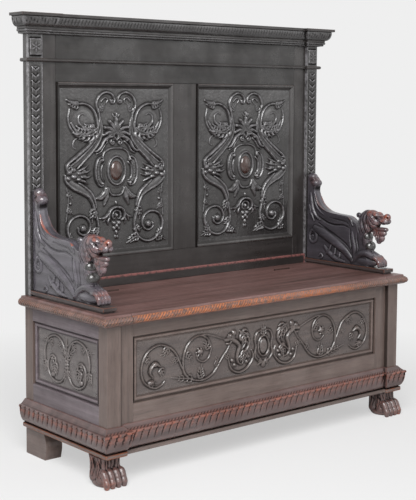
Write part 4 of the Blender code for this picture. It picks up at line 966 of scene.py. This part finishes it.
def mouldings():
    """The carved base, the worn, carved edge of the seat and the carved bands of the cornice."""
    post_low, post_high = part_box("front_post_left")
    half, inner, front = -post_low[0], -post_high[0], post_low[1]
    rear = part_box("rear_post_left")[1][1]
    corner = [(inner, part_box("front_stile_left")[0][1]), (inner, front), (half, front)]
    end = [(half, front + CLEARANCE), (half, rear)]
    runs = (("front", flipped(corner) + corner, front_carving, (-1, 0), (1, 0), 0.2, 0.6),
            ("left", flipped(end), gadroon, None, (0, -1), 0.45, 0),
            ("right", end, gadroon, (0, -1), None, 0.45, 0))
    for word, line, pattern, before, after, lobe_rub, rope_rub in runs:
        node = "base_moulding_" + word
        band = sweep(line, base_profile(), pattern, before=before, after=after)
        below = (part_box(node)[1][2] - coordinates(band.data)[:, 2]) / MM
        rubbed_and_lit = 0
        for much, (middle, spread) in ((lobe_rub, RUBBED_LOBES), (rope_rub, RUBBED_ROPE)):
            rubbed_and_lit = rubbed_and_lit + much * np.exp(-((below - middle) / spread) ** 2)
        age(band, 0.5 * MM, rubbed_and_lit, crest_wear_and_highlight=0.2)
        dress(band, "carved_" + node, BASE_WOOD, "carcase", node)
    seat_edge()
    cornice_band(half, inner, rear)


def seat_edge():
    """The carved, rubbed roll of the seat's edge: one strip on the lid and one round each fixed end."""
    lid_low, lid_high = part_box("seat_lid")
    end_low, end_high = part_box("seat_end_left")
    foot, thick = lid_low[2], lid_high[2] - lid_low[2]
    rows = [(-12.0, 0.79), (-7.6, 0.785), (-5.0, 0.72), (-1.6, 0.60), (0.2, 0.42), (-0.6, 0.28), (-2.6, 0.15),
            (-6.0, 0.10), (-12.0, 0.12)]
    profile = [(out * MM, foot + share * thick) for out, share in rows]

    def twist(distance, drop):
        pitch, middle, half, high = 11 * MM, 16 * MM, 11 * MM, 2.1 * MM
        share = np.mod((distance + 0.9 * drop) / pitch, 1)
        inside = np.clip(1 - np.abs((drop - middle) / half) ** 4, 0, 1)
        return inside * high * (np.abs(np.sin(math.pi * share)) - 0.45)

    front = lid_low[1]
    end = [(end_low[0], end_high[1]), (end_low[0], front), (end_high[0], front)]
    for word, line, body in (("lid", [(lid_low[0], front), (lid_high[0], front)], "lid"),
                             ("left", end, "carcase"), ("right", flipped(end), "carcase")):
        strip = sweep(line, profile, twist, step=SEAT_EDGE_SPACING)
        if word == "lid":
            bare = np.exp(-((coordinates(strip.data)[:, 0] + 0.1) / 0.44) ** 4)
            age(strip, 0.3 * MM, 1.5 * bare, crest_wear_and_highlight=0.3)
        else:
            # The fixed ends are darker all over and darker still in their hollows
            age(strip, 0.3 * MM, crest_wear_and_highlight=0.35, broad_shade=0.9, extra_shade=0.3)
        dress(strip, "seat_edge_" + word, EDGE_WOOD, body)


def cornice_band(half, inner, rear):
    """The band of upright tongues on the cornice's large ovolo, and two beads under it."""
    low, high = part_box("cornice")
    pilaster_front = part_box("pilaster_left")[0][1] + BLOCK_PROUD * MM
    frame_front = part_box("back_stile_left")[0][1]
    out, tall = -half - low[0], high[2] - low[2]
    head, foot = high[2] - 12 * MM, low[2] + 0.37 * tall
    ovolo = arc((0.50 * out + 0.8 * MM, head), (0.31 * out, foot - head), 0, 90, 10)

    def tongues(distance, drop):
        pitch, tongue_high = 13 * MM, 1.1 * MM
        share = np.mod((distance + 0.25 * drop) / pitch + 0.5, 1)
        level = drop / drop.max()
        inside = np.clip((level - 0.25) * 9, 0, 1) * np.clip((0.70 - level) * 9, 0, 1)
        return inside * tongue_high * (lobe(share, 1.1) - 0.6)

    end = [(inner, frame_front), (inner, pilaster_front), (half, pilaster_front), (half, rear)]
    path = flipped(end) + end
    band = sweep(path, [(0.6 * out, head)] + ovolo + [(0.45 * out, foot)], tongues)
    # Painted highlight on the crests of the tongues
    age(band, 0.4 * MM, crest_wear_and_highlight=0.4)
    dress(band, "cornice_tongues", CARVED["x"], "carcase")
    bed = low[2] + 1 * MM
    rows = [(2 * MM, bed + 0.25 * tall)]
    for reach, height, radius in ((0.38 * out, 11 * MM, 4.2 * MM), (0.29 * out, 4 * MM, 3.6 * MM)):
        rows += arc((reach, bed + height), (radius, radius), 90, -90, 8)
    beads = sweep(path, rows + [(2 * MM, bed)], lambda distance, drop: 0 * distance)
    # Painted highlight on the crests of the beads
    age(beads, 0.4 * MM, crest_wear_and_highlight=0.5)
    dress(beads, "cornice_beads", CARVED["x"], "carcase")


# Arms and feet, sculpted in millimetres as (x from the middle, forward, up)

ARM_OUTLINE = [(1, 0), (1, 2), (1, 150), (1, 312), (2, 314), (22, 316), (42, 294), (38, 262), (50, 230),
               (68, 207), (100, 189), (138, 182), (180, 179), (209, 176), (232, 164), (262, 150), (292, 140),
               (303, 124), (306, 100), (318, 70), (310, 46), (302, 2), (300, 0)]
ARM_THICK = 32
LION_LUMPS = (
    ((0, 14, 312), (18, 19, 15), 0), ((0, 34, 290), (21, 19, 16), 0),
    ((0, 282, 150), (22, 28, 42), 0), ((0, 300, 176), (24, 30, 32), 0),
    ((0, 320, 182), (24, 34, 27), 0), ((10, 347, 193), (11, 15, 9), 18), ((0, 366, 182), (16, 28, 12), -6),
    ((0, 391, 187), (12, 14, 13), 0), ((8, 380, 172), (11, 21, 13), 0), ((6, 330, 164), (15, 26, 26), 0),
    ((0, 364, 141), (14, 31, 8), -3), ((0, 384, 141), (11, 11, 8), 0), ((0, 358, 127), (14, 31, 14), 0),
    ((0, 358, 109), (12, 22, 17), 0), ((0, 354, 95), (8, 11, 9), 0), ((0, 340, 130), (12, 16, 22), 0),
    ((13, 266, 186), (9, 11, 10), 0), ((10, 284, 148), (10, 16, 26), 0),
    ((11, 306, 146), (10, 15, 22), 0), ((0, 298, 95), (21, 17, 36), 0), ((0, 299, 112), (20, 12, 17), 0),
    ((0, 314, 72), (21, 15, 18), 0), ((0, 288, 16), (19, 62, 22), 0),
)
LION_LEG = ([(11, 238, 8), (12, 266, 36), (12, 302, 47), (11, 336, 38)], (9, 12, 13, 12))
LION_TOES = (-17, -5.7, 5.7, 17)
LION_KNUCKLES = (([(334, 34), (348, 36), (356, 32)], (7, 8.5, 7)),
                 ([(360, 28), (369, 20), (371, 9)], (7, 8, 7)))
# Ribs and, below zero, grooves of the flank, the mane and the face: points, half widths and heights
ARM_STROKES = (
    ([(46, 238), (60, 212), (95, 192), (138, 184), (176, 183), (208, 180), (226, 166), (238, 146)],
     (3, 4, 4, 4, 4, 3), (3, 4, 4, 4, 3)),
    ([(19, 250), (24, 220), (32, 190), (48, 166), (70, 152)], (5, 8, 8, 7, 3), (3, 6, 7, 6, 3)),
    ([(36, 240), (44, 214), (60, 192), (88, 174)], (3, 5, 5, 2), (2, 4, 4, 2)),
    ([(12, 206), (22, 176), (38, 146)], (4, 7, 3), (3, 6, 3)),
    ([(16, 186), (30, 180), (40, 188)], (2, 4, 3), (3, 5, 4)),
    ([(62, 166), (100, 148), (143, 140), (190, 142), (226, 132)], (3, 4, 4, 4, 2), (-2, -4, -4, -3, -1)),
    ([(120, 165), (160, 160), (200, 156), (222, 144)], (3, 4, 4, 2), (-1, -2, -2, -1)),
    ([(46, 118), (85, 104), (125, 86), (164, 68), (205, 44), (238, 16)], (13, 18, 18, 16, 14, 9),
     (6, 9, 9, 9, 8, 5)),
    ([(62, 140), (110, 118), (160, 96), (206, 72), (226, 54)], (3, 5, 5, 4, 3), (-2, -3, -3, -3, -2)),
    ([(96, 52), (115, 35), (155, 13), (198, 6)], (7, 10, 9, 4), (4, 7, 7, 3)),
    *((plume, (4, 5, 3), (5, 7, 4)) for plume in (
        [(106, 28), (122, 44), (130, 62)], [(136, 16), (150, 32), (152, 50)])),
    ([(164, 10), (174, 22), (174, 36)], (3, 4, 3), (4, 6, 3)),
    ([(236, 118), (240, 90), (248, 60), (244, 26)], (6, 9, 9, 5), (3, 5, 5, 2)),
    ([(226, 128), (226, 96), (232, 64), (228, 50)], (3, 4, 4, 2), (-2, -4, -4, -2)),
    ([(262, 116), (262, 90), (268, 62), (266, 50)], (3, 4, 4, 2), (-2, -4, -4, -2)),
    ([(14, 90), (28, 110), (48, 100), (50, 76), (34, 64), (18, 72), (14, 90)], (5, 6, 7, 7, 6, 5), 4),
    ([(30, 90), (31, 89)], 9, -3), ([(30, 88), (31, 87)], 5, 3),
    ([(66, 14), (76, 24), (86, 14), (76, 4)], (3, 4, 4, 3), 4),
    *((groove, (1.5, 3, 3, 1.5), (-2, -4, -4, -2)) for groove in (
        [(272, 196), (262, 172), (262, 144), (272, 116)], [(288, 206), (278, 180), (276, 150), (286, 120)],
        [(304, 208), (294, 184), (291, 156), (300, 124)])),
    ([(318, 206), (309, 186), (308, 160), (318, 132)], (1.5, 3, 3, 1.5), (-1, -3, -3, -1)),
    *((lock, (2, 4, 4, 2), (1, 2, 2, 1)) for lock in (
        [(280, 204), (270, 178), (269, 146), (279, 116)], [(296, 209), (286, 184), (283, 154), (292, 122)],
        [(312, 208), (302, 186), (299, 158), (308, 128)])),
    ([(347, 183), (350, 183)], 7, -5), ([(348, 183), (350, 183)], 3.6, 5),
    ([(352, 173), (368, 168), (384, 168)], (2, 3, 2), (-2, -4, -2)),
    ([(356, 189), (366, 186), (378, 184)], (2, 3, 2), (-2, -4, -2)),
    *((fold, (2, 3, 2), 3) for fold in (
        [(334, 200), (344, 192), (358, 190)], [(328, 190), (338, 182), (344, 172)],
        [(372, 178), (380, 170), (394, 170)])),
    ([(322, 176), (334, 160), (350, 154)], (2, 3, 2), -3),
    ([(352, 152), (374, 156), (402, 157)], (4, 7, 6), -10),
    ([(397, 186), (398, 186)], 4, -5),
    *((beard, (2, 3, 2), -5) for beard in (
        [(336, 132), (342, 114), (348, 96)], [(348, 130), (352, 112), (354, 92)],
        [(360, 130), (362, 114), (360, 96)])),
    ([(259, 186), (265, 192), (271, 187), (266, 181)], 2.5, -3),
)
ARM_RIDGE = [(44, 244), (60, 213), (95, 192), (138, 184), (176, 183), (208, 180), (226, 166)]
# Places that hands have rubbed to red wood: (forward, up), how far and how much
ARM_RUBBED = (((348, 199), 11, 0.9), ((370, 192), 9, 0.7), ((394, 190), 12, 0.9), ((384, 174), 9, 0.6),
              ((322, 206), 20, 0.55), ((350, 140), 52, 0.3), ((362, 26), 17, 0.45), ((30, 300), 18, 0.2))
# The breast in black polished wood as painted shade, and painted shade at mouth, eye, nostril and under the
# scroll
LION_BREAST = (((0, 302, 108), (21, 15, 18), 0), ((0, 314, 74), (22, 16, 19), 0))
ARM_PAINTED_SHADE = (((354, 152), (374, 156), (404, 158), 9), ((348, 181), (350, 180), 4), ((397, 185), (399, 184), 3),
            ((36, 270), (48, 270), 9), ((322, 150), (330, 128), (330, 108), 5), ((14, 296), (24, 302), 4))


def both_hands(lumps):
    """Lumps off the middle come in pairs."""
    made = []
    for (x, forward, up), radii, tilt in lumps:
        made += [lump((side * x, forward, up), radii, tilt) for side in ((-1, 1) if x else (1,))]
    return made


def distance_to(points, path):
    """How far each point lies from a closely spaced path, all in the same plane."""
    return np.min(np.linalg.norm(points[:, None, :] - path[None, :, :], axis=2), axis=1)


def lion_arm():
    """The left arm: a winged lion on a board, under a scroll, with open jaws, a beard and long forelegs."""
    pieces = [sawn_board(ARM_OUTLINE, ARM_THICK)] + both_hands(LION_LUMPS)
    points, radii = LION_LEG
    for side in (-1, 1):
        pieces += limb([(side * x, forward, up) for x, forward, up in points], radii)
    for x in LION_TOES:
        for line, radii in LION_KNUCKLES:
            pieces += limb([(x, *point) for point in line], radii)
    obj = fuse(pieces)
    chase(obj, ARM_STROKES, (1, 2), 0)
    points = coordinates(obj.data)
    points[:, 2] = np.maximum(points[:, 2], 0)
    place_points(obj.data, points)
    side_view = points[:, 1:] * (-1000, 1000)
    # The ridge is rubbed on its arrises, most on the outer one; the inner side gets painted shade up to the
    # neck
    arris = np.clip((np.abs(points[:, 0]) / MM - 10) / 4, 0, 1) * np.where(points[:, 0] < 0, 1.1, 0.3)
    rub_and_highlight = arris * np.exp(-(distance_to(side_view, smooth_path(ARM_RIDGE, MASS_SPACING)) / 2) ** 2)
    for spot, reach, much in ARM_RUBBED:
        rub_and_highlight = np.maximum(rub_and_highlight, much * np.exp(-(np.linalg.norm(side_view - spot, axis=1) / reach) ** 2))
    extra_shade = 0.45 * (points[:, 0] > 4 * MM) * np.clip((325 - side_view[:, 0]) / 20, 0, 1)
    # Painted shade in the mouth, eye and nostril, between beard and breast and under the scroll
    for *line, reach in ARM_PAINTED_SHADE:
        away = distance_to(side_view, smooth_path(line, OUTLINE_SPACING))
        extra_shade = np.maximum(extra_shade, np.exp(-(away / reach) ** 2))
    age(obj, 1.0 * MM, rub_and_highlight, crest_wear_and_highlight=0, broad_shade=0.3, extra_shade=extra_shade)
    breast = fuse(both_hands(LION_BREAST))
    low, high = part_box("arm_plinth_left")
    place = ((low[0] + high[0]) / 2, high[1], high[2] + CLEARANCE)
    return [set_in_place(piece, place) for piece in (obj, breast)]


PAW_TOES = (-31, -10.5, 10.5, 31)
PAW_FRONT = 103 * MM
# The outer toe, which shoes have rubbed, and how far around it
PAW_RUBBED = np.array((-26, -92, 12)) * MM
PAW_RUB_REACH = 18 * MM


def paw_foot():
    """The left front foot: a lion's paw with a furred ankle and four toes of two knuckles each."""
    pieces = [lump((0, 44, 10), (41, 46, 18))]
    for x in (-23, 23):
        for forward in (18, 54):
            line = [(x, forward, 96), (x * 0.94, forward + 2, 64), (x, forward + 5, 24)]
            pieces += limb(line, (18, 16.5, 19))
    pieces += limb([(0, 36, 90), (0, 40, 30)], (30, 32))
    for x in PAW_TOES:
        pieces += limb([(x * 0.9, 58, 48), (x, 77, 43), (x, 86, 31)], (9, 12, 11))
        pieces += limb([(x, 88, 25), (x, 93, 16), (x, 93, 7)], (11, 11, 9))
    obj = fuse(pieces)
    fur = [([(f, 92), (f + 9, 64), (f + 5, 30)], (1.5, 3.2, 1.5), (-2, -4, -2)) for f in range(-6, 70, 10)]
    chase(obj, fur, (1, 2), 0)
    locks = [([(x, 92), (x * 1.1 + 3, 74), (x * 0.98, 54)], (1.5, 3.2, 1.5), (-2, -4, -2))
             for x in range(-33, 34, 11)]
    chase(obj, locks, (0, 2), 1)
    low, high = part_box("paw_foot_left")
    points = coordinates(obj.data)
    points[:, 2] = np.clip(points[:, 2], 0, high[2] - low[2])
    place_points(obj.data, points)
    toe = np.exp(-(np.linalg.norm(points - PAW_RUBBED, axis=1) / PAW_RUB_REACH) ** 2)
    age(obj, 0.6 * MM, 0.8 * toe, crest_wear_and_highlight=0.3)
    return set_in_place(obj, ((low[0] + high[0]) / 2, low[1] + PAW_FRONT, low[2]))


def sculptures():
    """The two lion arms and the two paw feet, each pair modelled once and mirrored."""
    arm, breast = lion_arm()
    for piece, word, wood in ((arm, "griffin_arm", ARM_WOOD), (paw_foot(), "paw_foot", BASE_WOOD)):
        for obj, side in ((piece, "left"), (mirrored(piece), "right")):
            node = f"{word}_{side}"
            dress(obj, "carved_" + node, wood, "carcase", node)
    # The breasts take the black back wood as painted shade
    for obj, side in ((breast, "left"), (mirrored(breast), "right")):
        dress(obj, "lion_breast_" + side, CARVED["z"], "carcase")


# Colours of the wood: browner and lighter on the chest, nearly black on the back, red on the seat

# The worn tone of the carved back wood is a light grey: a painted highlight on crests and high relief
CARVED = {axis: stained_wood("carved_walnut_" + axis, axis, "#211F1E", "#373434", (0.20, 0.30),
                             worn="#858386", polish=1.0) for axis in "xz"}
# Light grey worn tone: painted highlights on crests; the end panels' lighter tone is painted light
CHEST_CARVED = {axis: stained_wood("chest_carved_walnut_" + axis, axis, dark, light, (0.22, 0.34),
                                   worn="#8C847F", polish=1.0)
                for axis, dark, light in (("x", "#433937", "#5D514C"), ("y", "#534C4B", "#716967"))}
JEWEL_WOOD = stained_wood("cabochon_walnut", "z", "#2A1C19", "#50372F", (0.12, 0.2), polish=1.0)
BASE_WOOD = stained_wood("carved_base_walnut", "x", "#402E2C", "#6A524F", (0.27, 0.40),
                         worn="#9A5036", polish=1.0)
ARM_WOOD = stained_wood("arm_walnut", "y", "#3A373C", "#645F68", (0.18, 0.30),
                        worn="#9E4C2C", polish=1.0)
EDGE_WOOD = stained_wood("rubbed_seat_edge", "x", "#46352F", "#78655F", (0.20, 0.32),
                         worn="#AE6437", polish=1.0)
SEAT = stained_wood("seat_walnut", "x", "#4E3833", "#866460", (0.30, 0.46))
IRON = worked_iron()
WORN_BOARDS = ("arm_plinth", "back_skirting", "base_plinth", "cornice", "back_panel_moulding", "astragal")
RINGS = ("front_panel_moulding", "back_panel_moulding")
# Painted shade in grooves, gaps and breaks: nodes, an axis, the side of the node's box, how far in from that
# side it begins and is darkest, in mm, and how dark
PAINTED_SHADE_BANDS = (
    (RINGS, "Y", 0, 2, 5, 0.45), (RINGS, "X", 0, 9, 6, 1.0), (RINGS, "X", 1, 6, 3, 0.7),
    ("end_panel_moulding_left", "X", 0, 2, 5, 0.45), ("end_panel_moulding_right", "X", 1, 2, 5, 0.45),
    ("end_panel_moulding", "Y", 0, 12, 8, 1.0), ("front_post_left", "X", 1, 4, 1, 0.8),
    ("front_post_right", "X", 0, 4, 1, 0.8), ("base_plinth", "Z", 1, 3, 1, 1.0),
)
# The first row that fits a node's name: its wood, dark and light tone, roughness and what else differs
BOARDS = (
    (("lid_cleat", "chest_"), "unfinished_board_", "#4B3A2B", "#75604A", (0.6, 0.8), {}),
    ("back_skirting", "back_walnut_", "#262322", "#3E3A39", (0.24, 0.38), {"worn": "#8A5A57", "edge_mm": 9}),
    # The top rail is darker than the other back boards: painted shade
    ("back_top_rail", "back_walnut_", "#1A1817", "#2F2C2B", (0.24, 0.38), {"worn": "#3D2F2B"}),
    ("back_panel_moulding", "back_walnut_", "#262322", "#3E3A39", (0.24, 0.38),
     {"worn": "#3D2F2B", "polish": 1.0}),
    (("back", "pilaster", "astragal", "cornice"), "back_walnut_", "#262322", "#3E3A39", (0.24, 0.38),
     {"worn": "#3D2F2B"}),
    ("arm_plinth", "arm_walnut_", "#352E2D", "#544A49", (0.24, 0.38), {"worn": "#5E3A2E"}),
    # End boards take a lighter lavender tone than the front: painted light
    ("end", "end_walnut_", "#564C4F", "#7B7075", (0.32, 0.48), {}),
    ("base_plinth", "chest_walnut_", "#5A4D48", "#75655F", (0.30, 0.46), {"edge_mm": 6}),
    ("", "chest_walnut_", "#5A4D48", "#75655F", (0.30, 0.46), {}),
)


def board_wood(name):
    """The wood of a plain board, its grain along the board."""
    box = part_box(name)
    size = [b - a for a, b in zip(*box)]
    grain = "xyz"[size.index(max(size))]
    rubbed_and_lit = box if name.startswith(WORN_BOARDS) else None
    if name == "back_skirting":
        rubbed_and_lit = ((box[0][0], box[0][1], 0), box[1])
    sunk = []
    # Painted shade in bands near the given sides of grooves, gaps and breaks
    for nodes, axis, side, shade_start, shade_darkest, shade_share in PAINTED_SHADE_BANDS:
        if name.startswith(nodes):
            face, inward = box[side]["XYZ".index(axis)], (MM, -MM)[side]
            sunk.append((axis, face + shade_start * inward, face + shade_darkest * inward, shade_share))
    wood, *tones, other = next(row[1:] for row in BOARDS if name.startswith(row[0]))
    return stained_wood(wood + name, grain, *tones, box=rubbed_and_lit, sunk=sunk, **other)


def dress_frame():
    """Gives every CAD node its own wood or iron, for those that still show."""
    for name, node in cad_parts.items():
        if name.startswith("hinge"):
            material = IRON
        elif name.startswith("seat"):
            material = SEAT
        else:
            material = board_wood(name)
        node.data.materials.clear()
        node.data.materials.append(material)


# Stage

FLOOR_TONE = "#EFEFEF"
FLOOR_RADIUS = 6
# Where the floor begins to fade into the background and where it is lost in it, in metres from the middle
FADE_START = 0.7
FADE_END = 2.0
WORLD_LIGHT = 0.2
# Name, place, size and power of each lamp, and the point that all of them face
LAMP_AIM = Vector((0, 0, 0.75))
LAMPS = (("key", (-2.6, -2.7, 3.6), 3.0, 300), ("fill", (2.8, -3.6, 2.2), 2.0, 15),
         ("side", (-2.6, 3.0, 0.9), 2.0, 5))


def matt_paper():
    """Matt white paper: it takes the bench's shadow, and fades into the plain tone of the background."""
    made, tree, shader = blank("pale_floor")
    shader.inputs["Base Color"].default_value = colour(FLOOR_TONE)
    shader.inputs["Roughness"].default_value = 0.9
    glow = add(tree, "Emission", {"Color": colour(FLOOR_TONE)})
    place = add(tree, "TexCoord", output="Object")
    far = add(tree, "VectorMath", {0: place}, "Value", operation="LENGTH")
    fade = add(tree, "MapRange", {0: far, 1: FADE_START, 2: FADE_END, 3: 0.6, 4: 1.0})
    seen = add(tree, "LightPath", output="Is Camera Ray")
    share = add(tree, "Math", {0: fade, 1: seen}, operation="MULTIPLY")
    mixed = add(tree, "MixShader", {0: share, 1: shader.outputs[0], 2: glow})
    tree.links.new(mixed, tree.nodes["Material Output"].inputs["Surface"])
    return made


def pale_world():
    """The same plain tone all round, wherever it is seen or mirrored, and a weak light elsewhere."""
    world = bpy.data.worlds.new("studio_world")
    bpy.context.scene.world = world
    world.use_nodes = True
    tree = world.node_tree
    rays = add(tree, "LightPath", output="Is Camera Ray").node.outputs
    shown = 0.0
    for ray in ("Is Camera Ray", "Is Glossy Ray", "Is Transmission Ray"):
        shown = add(tree, "Math", {0: shown, 1: rays[ray]}, operation="ADD", use_clamp=True)
    strength = add(tree, "MapRange", {0: shown, 3: WORLD_LIGHT, 4: 1.0})
    background = tree.nodes["Background"].inputs
    background["Color"].default_value = colour(FLOOR_TONE)
    tree.links.new(strength, background["Strength"])


def studio():
    """A pale floor that fades into a plain pale world, and soft lights."""
    floor = primitive("circle", vertices=96, radius=FLOOR_RADIUS, fill_type="NGON")
    floor.name = "studio_floor"
    floor.data.materials.append(matt_paper())
    pale_world()
    for name, place, size, power in LAMPS:
        lamp = bpy.data.lights.new(name, "AREA")
        lamp.size = size
        lamp.energy = power
        holder = bpy.data.objects.new(name, lamp)
        holder.location = place
        aim = LAMP_AIM - Vector(place)
        holder.rotation_euler = aim.to_track_quat("-Z", "Y").to_euler()
        bpy.context.collection.objects.link(holder)


# The photograph's camera, worked out from the lines of the bench in the picture, in metres, degrees and mm
CAMERA_PLACE = (-2.537, -2.920, 1.149)
CAMERA_AZIMUTH = 40.09
CAMERA_DIP = 5.096
CAMERA_ROLL = 0.276
CAMERA_LENS = 82.76
CAMERA_SENSOR = 36
CAMERA_SHIFT = -0.100


def photograph_camera():
    """The photograph's own view, through a lens that is shifted so that upright lines stay nearly upright."""
    lens = bpy.data.cameras.new("photo_camera")
    lens.lens = CAMERA_LENS
    lens.sensor_width = CAMERA_SENSOR
    lens.shift_y = CAMERA_SHIFT
    camera = bpy.data.objects.new("photo_camera", lens)
    camera.location = CAMERA_PLACE
    turn = Matrix.Rotation(math.radians(-CAMERA_AZIMUTH), 4, "Z")
    dip = Matrix.Rotation(math.radians(90 - CAMERA_DIP), 4, "X")
    roll = Matrix.Rotation(math.radians(CAMERA_ROLL), 4, "Z")
    camera.rotation_euler = (turn @ dip @ roll).to_euler()
    bpy.context.collection.objects.link(camera)
    bpy.context.scene.camera = camera
    bpy.context.scene.view_settings.view_transform = "Standard"


dress_frame()
carved_panels()
mouldings()
sculptures()
studio()
photograph_camera()
